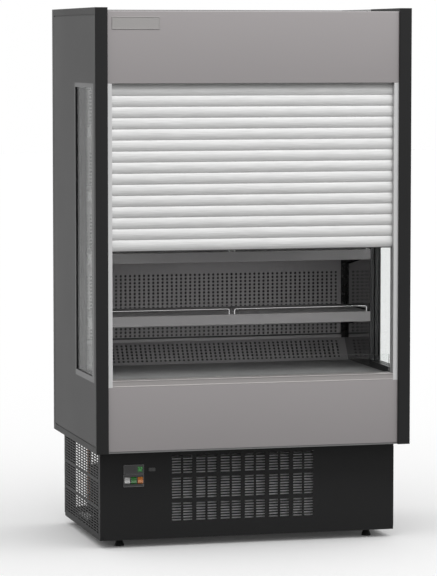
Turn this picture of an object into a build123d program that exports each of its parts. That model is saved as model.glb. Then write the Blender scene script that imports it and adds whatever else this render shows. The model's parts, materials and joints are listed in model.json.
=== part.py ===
"""Open multideck display fridge with a slatted roll-down shutter, standing on a machine base.

Millimetres, +Z up. The front faces -Y, the left end is at -X, and the origin lies on the floor under
the middle of the body. The shutter stands half lowered, as it hangs in use.
"""
import os
from math import cos, radians, sin

from build123d import *

os.makedirs("parts", exist_ok=True)

# ---------------------------------------------------------------- driving dimensions
# body
body_width = 1200
body_depth = 780
overall_height = 1990
end_wall = 46
back_wall = 42
roof_wall = 46
floor_wall = 46
front_wall_thickness = 46
sheet = 2
fit = 0.3  # clearance between pieces that meet without being pressed together

# front
post_thickness = 12
roof_drop = 12  # the end panels rise this far above the roof
header_height = 263
front_wall_height = 242
skirt_gap = 6  # between the body's underside and the lower front panel
sill_height = 25
sill_depth = 60
riser_height = 67
riser_thickness = 6
riser_groove = 15
riser_inset = 6  # from the riser glass to the sill's rear edge
name_plate_width = 179
name_plate_height = 46
name_plate_thickness = 2
name_plate_inset = 18  # from the header's end
name_plate_drop = 21  # from the header's top edge

# end windows
window_front = 37  # from the body's front to the frame
window_width = 326
window_bottom_gap = 16  # from the front wall's top to the frame
window_front_border = 32
window_rear_border = 9
window_bottom_border = 21
window_top_border = 16
window_pane = 6
pane_recess = 4.5
pane_space = 14
pane_grip = 5

# back of the display space
duct_depth = 46
duct_hem_height = 12
duct_hem_depth = 6
duct_foot_height = 83  # height of the slanted lower duct panel
duct_foot_reach = 55
deck_drop = 12  # from the sill's top down to the deck
deck_lip = 15
return_grille_depth = 48
return_slot_width = 30
return_slot_depth = 34
return_slot_pitch = 40
upright_width = 15
upright_depth = 10
slot_height = 12
slot_width = 4
slot_pitch = 34

# shelves
shelf_count = 4
first_shelf_height = 216  # from the deck to the first shelf's top
shelf_pitch = 238
shelf_depth = 348
shelf_lip = 38
shelf_end_gap = 6
bracket_thickness = 3
bracket_length = 290
bracket_root = 78
bracket_tip = 30
bracket_inset = 2  # from the shelf's end lip to the bracket
fence_wire = 4
fence_height = 23
fence_corner = 7
fence_middle_gap = 17
fence_end_inset = 12
fence_setback = 4

# canopy
shutter_box_depth = 190
plenum_depth = 56
plenum_height = 147
honeycomb_height = 20
honeycomb_cell = 18
honeycomb_pitch = 22
lamp_diameter = 26
lamp_length = 1000
lamp_cap = 30
lamp_drop = 8  # from the ceiling to the tube
lamp_setback = 40

# roll-down shutter
rail_width = 17.5
rail_depth = 40
rail_slot_reach = 12
curtain_drop = 611  # how far the shutter hangs below the header at rest
slat_pitch = 40.4
slat_bulge = 5
slat_sheet = 1.2
slat_tongue = 4
front_slats = 16
upper_slats = 11
upper_curtain_drop = 280  # how far the upper curtain hangs below the header, behind the front one
slot_play = 0.4
slot_web = 1
seal_height = 3
seal_thickness = 5
barrel_width = 70
barrel_wall = 2.5
barrel_drop = 120  # from the header's top to the barrel's axis
journal_diameter = 16
journal_play = 0.05
bracket_plate = 5
barrel_bracket_height = 100
barrel_end_gap = 1
barrel_cap = 8

# grooves across the outer face of the end panels
low_groove_rise = 25  # from the panel's bottom edge
high_groove_drop = 27  # from the panel's top edge
groove_height = 5
groove_depth = 2

# machine base
base_gap = 30  # from the floor to the base
base_height = 335
base_side_inset = 33
base_front_inset = 95
base_rear_inset = 40
corner_notch_width = 15
corner_notch_height = 12
corner_notch_top = 19
corner_post = 40
corner_post_sheet = 3
pan_flange = 30

# slotted grilles
grille_slot_height = 5.2
grille_row_pitch = 10.2
front_group_gap = 12
front_slot_length = 34.5
front_slot_pitch = 43
front_pair_pitch = 93.4
front_pairs = 6
front_groups = (7, 8, 7)
front_grille_x = -22
front_grille_top = 309  # above the base's bottom edge
side_slot_length = 36
side_slot_pitch = 46.5
side_columns = 13
side_groups = (9, 9, 9)
side_group_gap = 9
side_grille_top = 313

# controls on the base
control_x = -440
controller_width = 77.5
controller_height = 35
controller_rise = 263  # centre of the controller above the base's bottom edge
controller_proud = 3
controller_body_depth = 55
controller_frame = 3
display_width = 24
display_height = 25
display_sink = 1
bezel_width = 78
bezel_height = 47
bezel_proud = 2
bezel_body_depth = 30
bezel_frame = 4
control_gap = 1
rocker_width = 20
rocker_radius = 13.4
rocker_pitch = 24.8
rocker_tilt = 8
rocker_play = 0.3
rocker_crown = 3
rocker_pivot_depth = 4
rocker_pin_diameter = 3
rocker_pin_length = 1.7
rocker_pin_play = 0.05
socket_cover_width = 25
socket_cover_height = 13
socket_cover_proud = 2
socket_cover_x = -370
socket_cover_rise = 260

# levelling feet
foot_x = 480
foot_front_inset = 66  # from the base's front to the front feet
foot_rear_inset = 70
foot_diameter = 37
foot_neck_diameter = 22
foot_rim = 4
foot_height = 22
stud_diameter = 10
stud_play = 0.1
stud_reach = 40
nut_diameter = 24
nut_height = 12

# refrigeration
coil_width = 940
coil_depth = 240
coil_height = 150
coil_rear_gap = 60
bend_diameter = 10
bend_pitch = 42
fin_thickness = 1
evaporator_fins = 24
evaporator_bend_columns = 3
evaporator_bend_rows = 3
condenser_fins = 36
condenser_bend_columns = 3
condenser_bend_rows = 2
duct_fan_x = 250
duct_fan_diameter = 150
duct_fan_tip_gap = 6
duct_fan_blades = 5
duct_fan_plate_setback = 110
fan_hub_diameter = 44
fan_hub_length = 24
fan_blade_thickness = 2
fan_blade_pitch = 28
fan_shaft_diameter = 8
fan_shaft_play = 0.05
motor_diameter = 62
motor_length = 45
motor_gap = 12  # from the fan's hub to its motor
motor_arm = 8
condenser_width = 570
condenser_height = 300
condenser_depth = 55
condenser_front_gap = 14
shroud_depth = 40
cooling_fan_diameter = 240
cooling_fan_tip_gap = 7
cooling_fan_blades = 5
cooling_fan_pitch = 30
cooling_hub_diameter = 62
cooling_hub_length = 28
compressor_diameter = 170
compressor_height = 205
compressor_dome = 38
compressor_x = -430
compressor_front_gap = 465  # from the base's front to the compressor's axis
compressor_stand = 14
compressor_plate = 4
compressor_plate_width = 200
grommet_diameter = 26
pipe_diameter = 16
pipe_bend = 30
riser_pipe_x = -535
riser_pipe_front_gap = 335
water_tray_width = 340
water_tray_depth = 230
water_tray_height = 60
water_tray_x = 250
water_tray_rear_gap = 30
gland_diameter = 22
gland_length = 18
gland_x = 480
gland_rise = 16
gland_bore = 9

# ---------------------------------------------------------------- places worked out from them
half = body_width / 2
inner = half - end_wall
front = -body_depth / 2
rear = body_depth / 2
face = front + post_thickness
skin_back = face + sheet
duct_rear = rear - back_wall
duct_face = duct_rear - duct_depth

cabinet_bottom = base_gap + base_height
floor_top = cabinet_bottom + floor_wall
front_wall_top = cabinet_bottom + front_wall_height
sill_top = front_wall_top + sill_height
deck_top = sill_top - deck_drop
roof_top = overall_height - roof_drop
roof_bottom = roof_top - roof_wall
header_bottom = roof_top - header_height
header_inside_top = roof_top - sheet

rail_inner_x = inner - rail_width
rail_rear = face + rail_depth
sill_rear = face + sill_depth
riser_rear = sill_rear - riser_inset

# a slat's profile, from its front crest back to its tongue
slat_shoulder = slat_bulge + slat_sheet
slat_thickness = slat_shoulder + slat_sheet + fit
slot_width_y = slat_thickness + 2 * slot_play
slot_step = slot_width_y + slot_web
upper_slot_rear = rail_rear - 2 * sheet
upper_crest = upper_slot_rear - slot_play - slat_thickness
front_crest = upper_crest - slot_step
curtain_half = rail_inner_x + rail_slot_reach - fit
curtain_bottom = header_bottom - curtain_drop
upper_curtain_bottom = header_bottom - upper_curtain_drop

box_rear = skin_back + shutter_box_depth
plenum_rear = box_rear + plenum_depth
ceiling = header_bottom + plenum_height
barrel_y = (upper_slot_rear + box_rear) / 2
barrel_z = roof_top - barrel_drop

base_half = half - base_side_inset
base_front = front + base_front_inset
base_rear = rear - base_rear_inset
pan_top = base_gap + sheet
base_skin_back = base_front + sheet
foot_front_y = base_front + foot_front_inset
foot_rear_y = base_rear - foot_rear_inset
foot_places = [
    ("foot_front_left", -foot_x, foot_front_y),
    ("foot_front_right", foot_x, foot_front_y),
    ("foot_rear_left", -foot_x, foot_rear_y),
    ("foot_rear_right", foot_x, foot_rear_y),
]

condenser_front = base_skin_back + condenser_front_gap
shroud_front = condenser_front + condenser_depth
shroud_rear = shroud_front + shroud_depth
cooling_fan_z = pan_top + condenser_height / 2
compressor_y = base_front + compressor_front_gap
duct_fan_plate = face + front_wall_thickness + duct_fan_plate_setback
duct_fan_z = (floor_top + deck_top - deck_lip) / 2
duct_fan_plate_top = deck_top - deck_lip


# ---------------------------------------------------------------- helpers
def front_plane(y):
    """A plane facing the front at depth y: its own x is X and its own y is Z."""
    return Plane.XZ.offset(-y)


def side_plane(x):
    """A plane facing +X at x: its own x is Y and its own y is Z."""
    return Plane.YZ.offset(x)


def block(x_range, y_range, z_range, mode=Mode.ADD):
    """A box between two corners in the part being built."""
    middle = [(low + high) / 2 for low, high in (x_range, y_range, z_range)]
    size = [high - low for low, high in (x_range, y_range, z_range)]
    with Locations(tuple(middle)):
        Box(*size, mode=mode)


def rod(start, end, diameter, mode=Mode.ADD):
    """A round bar from one point to another in the part being built."""
    run = Vector(*end) - Vector(*start)
    with Locations(Plane(origin=start, z_dir=run)):
        Cylinder(diameter / 2, run.length, align=(Align.CENTER, Align.CENTER, Align.MIN), mode=mode)


def finish(builder, name):
    """Label a finished piece and write it under its name."""
    builder.part.label = name
    export_step(builder.part, f"parts/{name}.step")


def row_heights(top, groups, gap):
    """Centre heights of slot rows set in groups, from the top row down."""
    heights = []
    edge = top
    for rows in groups:
        for row in range(rows):
            heights.append(edge - grille_slot_height / 2 - row * grille_row_pitch)
        edge -= rows * grille_row_pitch + gap
    return heights


# ---------------------------------------------------------------- body
with BuildPart() as left_end_panel:
    block((-half, -inner), (face, duct_rear), (cabinet_bottom, overall_height))
    window_y = front + window_front + window_width / 2
    window_bottom = front_wall_top + window_bottom_gap
    window_height = header_bottom - window_bottom
    window_z = window_bottom + window_height / 2
    with BuildSketch(side_plane(-half)):
        with Locations((window_y, window_z)):
            Rectangle(window_width, window_height)
    extrude(amount=end_wall, mode=Mode.SUBTRACT)
    for groove_z in (cabinet_bottom + low_groove_rise, overall_height - high_groove_drop):
        block((-half, -half + groove_depth), (face, duct_rear),
              (groove_z - groove_height / 2, groove_z + groove_height / 2), Mode.SUBTRACT)
finish(left_end_panel, "left_end_panel")

with BuildPart() as right_end_panel:
    mirror(left_end_panel.part, about=Plane.YZ)
finish(right_end_panel, "right_end_panel")

sight_width = window_width - window_front_border - window_rear_border
sight_y = front + window_front + window_front_border + sight_width / 2
sight_height = window_height - window_bottom_border - window_top_border
sight_z = window_bottom + window_bottom_border + sight_height / 2
outer_pane_x = -half + pane_recess
inner_pane_x = outer_pane_x + window_pane + pane_space

with BuildPart() as window_frames:
    with BuildSketch(side_plane(-half)):
        with Locations((window_y, window_z)):
            Rectangle(window_width, window_height)
        with Locations((sight_y, sight_z)):
            Rectangle(sight_width, sight_height, mode=Mode.SUBTRACT)
    extrude(amount=end_wall)
    for groove_x in (outer_pane_x, inner_pane_x):
        with BuildSketch(side_plane(groove_x)):
            with Locations((sight_y, sight_z)):
                Rectangle(sight_width + 2 * pane_grip, sight_height + 2 * pane_grip)
        extrude(amount=window_pane, mode=Mode.SUBTRACT)
    mirror(about=Plane.YZ)
finish(window_frames, "window_frames")

with BuildPart() as window_glass:
    for pane_x in (outer_pane_x, inner_pane_x):
        with BuildSketch(side_plane(pane_x)):
            with Locations((sight_y, sight_z)):
                Rectangle(sight_width + 2 * pane_grip, sight_height + 2 * pane_grip)
        extrude(amount=window_pane)
    mirror(about=Plane.YZ)
finish(window_glass, "window_glass")

with BuildPart() as back_panel:
    block((-half, half), (duct_rear, rear), (cabinet_bottom, overall_height))
finish(back_panel, "back_panel")

with BuildPart() as roof_panel:
    block((-inner, inner), (box_rear, duct_rear), (roof_bottom, roof_top))
finish(roof_panel, "roof_panel")

with BuildPart() as cabinet_floor:
    block((-inner, inner), (skin_back, duct_rear), (cabinet_bottom, floor_top))
finish(cabinet_floor, "cabinet_floor")

front_wall_rear = face + front_wall_thickness
with BuildPart() as front_wall:
    block((-inner, inner), (skin_back, front_wall_rear), (floor_top, front_wall_top))
finish(front_wall, "front_wall")

with BuildPart() as lower_front_panel:
    block((-inner, inner), (face, skin_back), (cabinet_bottom + skirt_gap, front_wall_top))
finish(lower_front_panel, "lower_front_panel")

with BuildPart() as front_posts:
    block((-half, -inner), (front, face), (cabinet_bottom, overall_height))
    mirror(about=Plane.YZ)
finish(front_posts, "front_posts")

# the header cover: a front sheet folded back over the top, with a lip in front of the shutter
lip_rear = front_crest - slot_play
with BuildPart() as header_panel:
    block((-inner, inner), (face, skin_back), (header_bottom, roof_top))
    block((-inner, inner), (skin_back, box_rear), (header_inside_top, roof_top))
    block((-rail_inner_x + fit, rail_inner_x - fit), (skin_back, lip_rear),
          (header_bottom, header_bottom + sheet))
finish(header_panel, "header_panel")

plate_left = -inner + name_plate_inset
plate_top = roof_top - name_plate_drop
with BuildPart() as name_plate:
    block((plate_left, plate_left + name_plate_width), (face - name_plate_thickness, face),
          (plate_top - name_plate_height, plate_top))
    chamfer(name_plate.faces().sort_by(Axis.Y)[0].edges(), length=name_plate_thickness / 2)
finish(name_plate, "name_plate")

# ---------------------------------------------------------------- sill, riser glass and air return
riser_y = (riser_rear - riser_thickness, riser_rear)
with BuildPart() as sill:
    block((-rail_inner_x, rail_inner_x), (face, sill_rear), (front_wall_top, sill_top))
    front_edges = sill.edges().filter_by(Axis.X).group_by(Axis.Y)[0]
    fillet(front_edges, radius=sheet)
    block((-rail_inner_x, rail_inner_x), riser_y, (sill_top - riser_groove, sill_top), Mode.SUBTRACT)
finish(sill, "sill")

with BuildPart() as riser_glass:
    block((-rail_inner_x + fit, rail_inner_x - fit), riser_y,
          (sill_top - riser_groove, sill_top + riser_height))
finish(riser_glass, "riser_glass")

return_rear = sill_rear + return_grille_depth
return_columns = int((2 * rail_inner_x - return_slot_width) // return_slot_pitch) + 1
with BuildPart() as return_air_grille:
    block((-inner, inner), (sill_rear, return_rear), (deck_top - deck_lip, deck_top))
    block((-inner + sheet, inner - sheet), (sill_rear + sheet, return_rear - sheet),
          (deck_top - deck_lip, deck_top - sheet), Mode.SUBTRACT)
    with BuildSketch(Plane.XY.offset(deck_top - sheet)):
        with Locations((0, (sill_rear + return_rear) / 2)):
            with GridLocations(return_slot_pitch, 0, return_columns, 1):
                Rectangle(return_slot_width, return_slot_depth)
    extrude(amount=sheet, mode=Mode.SUBTRACT)
finish(return_air_grille, "return_air_grille")

# ---------------------------------------------------------------- deck and rear duct
duct_foot_top = deck_top + duct_foot_height
deck_rear = duct_face - duct_foot_reach
with BuildPart() as deck_pan:
    block((-inner, inner), (return_rear, deck_rear), (deck_top - deck_lip, deck_top))
    block((-inner + sheet, inner - sheet), (return_rear + sheet, deck_rear - sheet),
          (deck_top - deck_lip, deck_top - sheet), Mode.SUBTRACT)
finish(deck_pan, "deck_pan")

with BuildPart() as rear_duct_panel:
    block((-inner, inner), (duct_face, duct_face + sheet), (duct_foot_top, ceiling))
    block((-inner + upright_width, inner - upright_width), (duct_face - duct_hem_depth, duct_face),
          (duct_foot_top, duct_foot_top + duct_hem_height))
finish(rear_duct_panel, "rear_duct_panel")

# slanted sheet from the duct's foot forward to the deck's rear edge
with BuildPart() as lower_duct_panel:
    with BuildSketch(side_plane(-inner)):
        with BuildLine():
            Polyline(
                (duct_face, duct_foot_top),
                (deck_rear, deck_top),
                (deck_rear, deck_top - deck_lip),
                (deck_rear + sheet, deck_top - deck_lip),
                (deck_rear + sheet, deck_top - sheet / 2),
                (duct_face + sheet, duct_foot_top - sheet / 2),
                (duct_face + sheet, duct_foot_top),
                close=True,
            )
        make_face()
    extrude(amount=2 * inner)
finish(lower_duct_panel, "lower_duct_panel")

upright_bottom = duct_foot_top
slot_count = int((ceiling - upright_bottom) // slot_pitch) - 1
with BuildPart() as shelf_uprights:
    upright_x = inner - upright_width / 2
    upright_z = (upright_bottom + ceiling) / 2
    block((upright_x - upright_width / 2, inner), (duct_face - upright_depth, duct_face),
          (upright_bottom, ceiling))
    with BuildSketch(front_plane(duct_face)):
        with Locations((upright_x, upright_z)):
            with GridLocations(2 * slot_width, slot_pitch, 2, slot_count):
                Rectangle(slot_width, slot_height)
    extrude(amount=upright_depth, mode=Mode.SUBTRACT)
    mirror(about=Plane.YZ)
finish(shelf_uprights, "shelf_uprights")

# ---------------------------------------------------------------- shelves
shelf_half = inner - shelf_end_gap
shelf_rear = duct_face - upright_depth - fit
shelf_front = shelf_rear - shelf_depth
shelf_tops = [deck_top + first_shelf_height + level * shelf_pitch for level in range(shelf_count)]

for level, top in enumerate(shelf_tops, start=1):
    with BuildPart() as shelf:
        block((-shelf_half, shelf_half), (shelf_front, shelf_rear), (top - shelf_lip, top))
        block((-shelf_half + sheet, shelf_half - sheet), (shelf_front + sheet, shelf_rear),
              (top - shelf_lip, top - sheet), Mode.SUBTRACT)
    finish(shelf, f"shelf_{level}")

bracket_x = shelf_half - sheet - bracket_inset
bracket_foot = duct_face - upright_depth
with BuildPart() as shelf_brackets:
    for top in shelf_tops:
        plate_top_z = top - sheet
        with BuildSketch(side_plane(bracket_x - bracket_thickness)):
            with BuildLine():
                Polyline(
                    (bracket_foot, plate_top_z),
                    (bracket_foot, plate_top_z - bracket_root),
                    (bracket_foot - bracket_length, plate_top_z - bracket_tip),
                    (bracket_foot - bracket_length, plate_top_z),
                    close=True,
                )
            make_face()
        extrude(amount=bracket_thickness)
    mirror(about=Plane.YZ)
finish(shelf_brackets, "shelf_brackets")

fence_y = shelf_front + fence_setback + fence_wire / 2
fence_inner_x = (fence_middle_gap + fence_wire) / 2
fence_outer_x = shelf_half - fence_end_inset - fence_wire / 2
with BuildPart() as shelf_fences:
    for top in shelf_tops:
        wire_z = top + fence_height - fence_wire / 2
        with BuildLine(front_plane(fence_y)):
            FilletPolyline(
                (fence_inner_x, top),
                (fence_inner_x, wire_z),
                (fence_outer_x, wire_z),
                (fence_outer_x, top),
                radius=fence_corner,
            )
        with BuildSketch(Plane(origin=(fence_inner_x, fence_y, top), z_dir=(0, 0, 1))):
            Circle(fence_wire / 2)
        sweep()
    mirror(about=Plane.YZ)
finish(shelf_fences, "shelf_fences")

# ---------------------------------------------------------------- canopy inside
with BuildPart() as shutter_box:
    block((-inner, inner), (box_rear - sheet, box_rear), (header_bottom, header_inside_top))
    block((-inner, inner), (rail_rear, box_rear), (header_bottom, header_bottom + sheet))
finish(shutter_box, "shutter_box")

with BuildPart() as ceiling_panel:
    block((-inner, inner), (plenum_rear, duct_face + sheet), (ceiling, ceiling + sheet))
    block((-inner, inner), (plenum_rear, plenum_rear + sheet), (header_bottom, ceiling))
finish(ceiling_panel, "ceiling_panel")

honeycomb_columns = int((2 * inner - honeycomb_cell) // honeycomb_pitch)
honeycomb_rows = int(plenum_depth // honeycomb_pitch)
with BuildPart() as discharge_honeycomb:
    block((-inner, inner), (box_rear, plenum_rear), (header_bottom, header_bottom + honeycomb_height))
    with BuildSketch(Plane.XY.offset(header_bottom)):
        with Locations((0, (box_rear + plenum_rear) / 2)):
            with GridLocations(honeycomb_pitch, honeycomb_pitch, honeycomb_columns, honeycomb_rows):
                Rectangle(honeycomb_cell, honeycomb_cell)
    extrude(amount=honeycomb_height, mode=Mode.SUBTRACT)
finish(discharge_honeycomb, "discharge_honeycomb")

lamp_y = plenum_rear + lamp_setback
lamp_z = ceiling - lamp_drop - lamp_diameter / 2
with BuildPart() as canopy_lamp:
    rod((-lamp_length / 2, lamp_y, lamp_z), (lamp_length / 2, lamp_y, lamp_z), lamp_diameter)
    for side in (-1, 1):
        cap_x = side * (lamp_length + lamp_cap) / 2
        block((cap_x - lamp_cap / 2, cap_x + lamp_cap / 2),
              (lamp_y - lamp_diameter / 2, lamp_y + lamp_diameter / 2),
              (lamp_z - lamp_diameter / 2, ceiling))
finish(canopy_lamp, "canopy_lamp")

# ---------------------------------------------------------------- roll-down shutter
# one rail: an extruded channel with a slot for each curtain, its face set back behind the header
with BuildPart() as guide_rails:
    block((-inner, -rail_inner_x), (face, rail_rear), (front_wall_top, header_bottom))
    block((-inner, -rail_inner_x), (skin_back, rail_rear), (header_bottom, header_inside_top))
    for crest in (front_crest, upper_crest):
        block((-rail_inner_x - rail_slot_reach, -rail_inner_x),
              (crest - slot_play, crest + slat_thickness + slot_play),
              (front_wall_top, header_inside_top), Mode.SUBTRACT)
    mirror(about=Plane.YZ)
finish(guide_rails, "guide_rails")


def slats(crest, bottom, count):
    """Curved slats hung one on another, each with a tongue behind the next one's lower edge."""
    for number in range(count):
        foot = bottom + number * slat_pitch
        head = foot + slat_pitch - fit
        middle = (foot + head) / 2
        with BuildSketch(side_plane(-curtain_half)) as section:
            with BuildLine():
                ThreePointArc((crest + slat_bulge, foot), (crest, middle), (crest + slat_bulge, head))
                Line((crest + slat_bulge, head), (crest + slat_shoulder + fit, head))
                Line((crest + slat_shoulder + fit, head), (crest + slat_shoulder + fit, head + slat_tongue))
                Line((crest + slat_shoulder + fit, head + slat_tongue),
                     (crest + slat_thickness, head + slat_tongue))
                Line((crest + slat_thickness, head + slat_tongue),
                     (crest + slat_thickness, head - slat_sheet))
                Line((crest + slat_thickness, head - slat_sheet),
                     (crest + slat_shoulder, head - slat_sheet))
                ThreePointArc((crest + slat_shoulder, head - slat_sheet), (crest + slat_sheet, middle),
                              (crest + slat_shoulder, foot))
                Line((crest + slat_shoulder, foot), (crest + slat_bulge, foot))
            make_face()
        extrude(section.sketch, amount=2 * curtain_half)


with BuildPart() as shutter_curtain:
    slats(front_crest, curtain_bottom, front_slats)
finish(shutter_curtain, "shutter_curtain")

seal_y = front_crest + slat_bulge + slat_sheet / 2
with BuildPart() as shutter_seal:
    block((-rail_inner_x + fit, rail_inner_x - fit),
          (seal_y - seal_thickness / 2, seal_y + seal_thickness / 2),
          (curtain_bottom - seal_height, curtain_bottom))
finish(shutter_seal, "shutter_seal")

with BuildPart() as upper_curtain:
    slats(upper_crest, upper_curtain_bottom, upper_slats)
finish(upper_curtain, "upper_curtain")

barrel_half = inner - bracket_plate - barrel_end_gap
with BuildPart() as shutter_barrel:
    with BuildSketch(side_plane(-barrel_half)):
        with Locations((barrel_y, barrel_z)):
            RegularPolygon(barrel_width / 2, 8, major_radius=False)
    extrude(amount=2 * barrel_half)
    with BuildSketch(side_plane(-barrel_half + barrel_cap)):
        with Locations((barrel_y, barrel_z)):
            RegularPolygon(barrel_width / 2 - barrel_wall, 8, major_radius=False)
    extrude(amount=2 * (barrel_half - barrel_cap), mode=Mode.SUBTRACT)
    journal_end = inner - barrel_end_gap
    for side in (-1, 1):
        rod((side * barrel_half, barrel_y, barrel_z), (side * journal_end, barrel_y, barrel_z),
            journal_diameter)
finish(shutter_barrel, "shutter_barrel")

with BuildPart() as barrel_brackets:
    block((-inner, -inner + bracket_plate), (barrel_y - barrel_bracket_height / 2, box_rear - sheet),
          (barrel_z - barrel_bracket_height / 2, barrel_z + barrel_bracket_height / 2))
    rod((-inner, barrel_y, barrel_z), (-inner + bracket_plate, barrel_y, barrel_z),
        journal_diameter + 2 * journal_play, Mode.SUBTRACT)
    mirror(about=Plane.YZ)
finish(barrel_brackets, "barrel_brackets")

# ---------------------------------------------------------------- machine base
with BuildPart() as base_frame:
    block((-base_half + sheet, base_half - sheet), (base_skin_back, base_rear), (base_gap, pan_top))
    block((-base_half + sheet, base_half - sheet), (base_rear - sheet, base_rear),
          (pan_top, pan_top + pan_flange))
    for side in (-1, 1):
        outside = side * (base_half - sheet)
        along = outside - side * corner_post
        across = outside - side * corner_post_sheet
        for y_outside, y_along, y_across in (
            (base_skin_back, base_skin_back + corner_post, base_skin_back + corner_post_sheet),
            (base_rear, base_rear - corner_post, base_rear - corner_post_sheet),
        ):
            block(sorted((along, outside)), sorted((y_outside, y_across)), (base_gap, cabinet_bottom))
            block(sorted((across, outside)), sorted((y_outside, y_along)), (base_gap, cabinet_bottom))
    for name, x, y in foot_places:
        rod((x, y, pan_top), (x, y, pan_top + nut_height), nut_diameter)
        rod((x, y, base_gap), (x, y, pan_top + nut_height), stud_diameter + 2 * stud_play, Mode.SUBTRACT)
    rod((gland_x, base_rear - sheet, pan_top + gland_rise), (gland_x, base_rear, pan_top + gland_rise),
        gland_bore, Mode.SUBTRACT)
finish(base_frame, "base_frame")

base_middle_z = base_gap + base_height / 2
controller_z = base_gap + controller_rise
bezel_z = controller_z - (controller_height + bezel_height) / 2 - control_gap
socket_cover_z = base_gap + socket_cover_rise
front_columns = [
    front_grille_x + (pair - (front_pairs - 1) / 2) * front_pair_pitch + side * front_slot_pitch / 2
    for pair in range(front_pairs)
    for side in (-1, 1)
]
with BuildPart() as base_front_panel:
    with BuildSketch(front_plane(base_skin_back)):
        with Locations((0, base_middle_z)):
            Rectangle(2 * base_half, base_height)
        for side in (-1, 1):
            corner_x = side * (base_half - corner_notch_width / 2)
            with Locations((corner_x, base_gap + corner_notch_height / 2)):
                Rectangle(corner_notch_width, corner_notch_height, mode=Mode.SUBTRACT)
            with Locations((corner_x, cabinet_bottom - corner_notch_top / 2)):
                Rectangle(corner_notch_width, corner_notch_top, mode=Mode.SUBTRACT)
        front_rows = row_heights(base_gap + front_grille_top, front_groups, front_group_gap)
        with Locations([(x, z) for x in front_columns for z in front_rows]):
            Rectangle(front_slot_length, grille_slot_height, mode=Mode.SUBTRACT)
        with Locations((control_x, controller_z)):
            Rectangle(controller_width - 2 * controller_frame, controller_height - 2 * controller_frame,
                      mode=Mode.SUBTRACT)
        with Locations((control_x, bezel_z)):
            Rectangle(bezel_width - 2 * bezel_frame, bezel_height - 2 * bezel_frame, mode=Mode.SUBTRACT)
    extrude(amount=sheet)
finish(base_front_panel, "base_front_panel")

side_middle_y = (base_skin_back + base_rear) / 2
with BuildPart() as left_base_grille:
    with BuildSketch(side_plane(-base_half)):
        with Locations((side_middle_y, base_middle_z)):
            Rectangle(base_rear - base_skin_back, base_height)
        with Locations((base_rear - corner_notch_width / 2, base_gap + corner_notch_height / 2)):
            Rectangle(corner_notch_width, corner_notch_height, mode=Mode.SUBTRACT)
        side_rows = row_heights(base_gap + side_grille_top, side_groups, side_group_gap)
        side_places = [
            (side_middle_y + (column - (side_columns - 1) / 2) * side_slot_pitch, z)
            for column in range(side_columns)
            for z in side_rows
        ]
        with Locations(side_places):
            Rectangle(side_slot_length, grille_slot_height, mode=Mode.SUBTRACT)
    extrude(amount=sheet)
finish(left_base_grille, "left_base_grille")

with BuildPart() as right_base_grille:
    mirror(left_base_grille.part, about=Plane.YZ)
finish(right_base_grille, "right_base_grille")

# ---------------------------------------------------------------- controls
with BuildPart() as controller:
    half_width = controller_width / 2
    half_height = controller_height / 2
    block((control_x - half_width, control_x + half_width), (base_front - controller_proud, base_front),
          (controller_z - half_height, controller_z + half_height))
    fillet(controller.edges().filter_by(Axis.Y), radius=controller_frame)
    block((control_x - half_width + controller_frame, control_x + half_width - controller_frame),
          (base_front, base_front + controller_body_depth),
          (controller_z - half_height + controller_frame, controller_z + half_height - controller_frame))
    display_right = control_x + half_width - controller_frame
    block((display_right - display_width, display_right),
          (base_front - controller_proud, base_front - controller_proud + display_sink),
          (controller_z - display_height / 2, controller_z + display_height / 2), Mode.SUBTRACT)
finish(controller, "controller")

rocker_places = [
    ("lamp_rocker", control_x - rocker_pitch),
    ("fan_rocker", control_x),
    ("power_rocker", control_x + rocker_pitch),
]
pivot_y = base_front + rocker_pivot_depth
pocket_width = rocker_width + 2 * rocker_play
pocket_height = 2 * (rocker_radius + rocker_play)
with BuildPart() as switch_bezel:
    half_width = bezel_width / 2
    half_height = bezel_height / 2
    block((control_x - half_width, control_x + half_width), (base_front - bezel_proud, base_front),
          (bezel_z - half_height, bezel_z + half_height))
    fillet(switch_bezel.edges().filter_by(Axis.Y), radius=bezel_frame / 2)
    block((control_x - half_width + bezel_frame, control_x + half_width - bezel_frame),
          (base_front, base_front + bezel_body_depth),
          (bezel_z - half_height + bezel_frame, bezel_z + half_height - bezel_frame))
    for name, x in rocker_places:
        block((x - pocket_width / 2, x + pocket_width / 2),
              (base_front - bezel_proud, base_front + bezel_body_depth - bezel_frame),
              (bezel_z - pocket_height / 2, bezel_z + pocket_height / 2), Mode.SUBTRACT)
        pin_reach = rocker_width / 2 + rocker_pin_length + rocker_play
        rod((x - pin_reach, pivot_y, bezel_z), (x + pin_reach, pivot_y, bezel_z),
            rocker_pin_diameter + 2 * rocker_pin_play, Mode.SUBTRACT)
finish(switch_bezel, "switch_bezel")


def on_pivot(distance, angle):
    """Point at a distance from the rockers' pivot, at an angle up from straight out of the panel."""
    turn = radians(angle)
    return (pivot_y - distance * cos(turn), bezel_z + distance * sin(turn))


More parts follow.
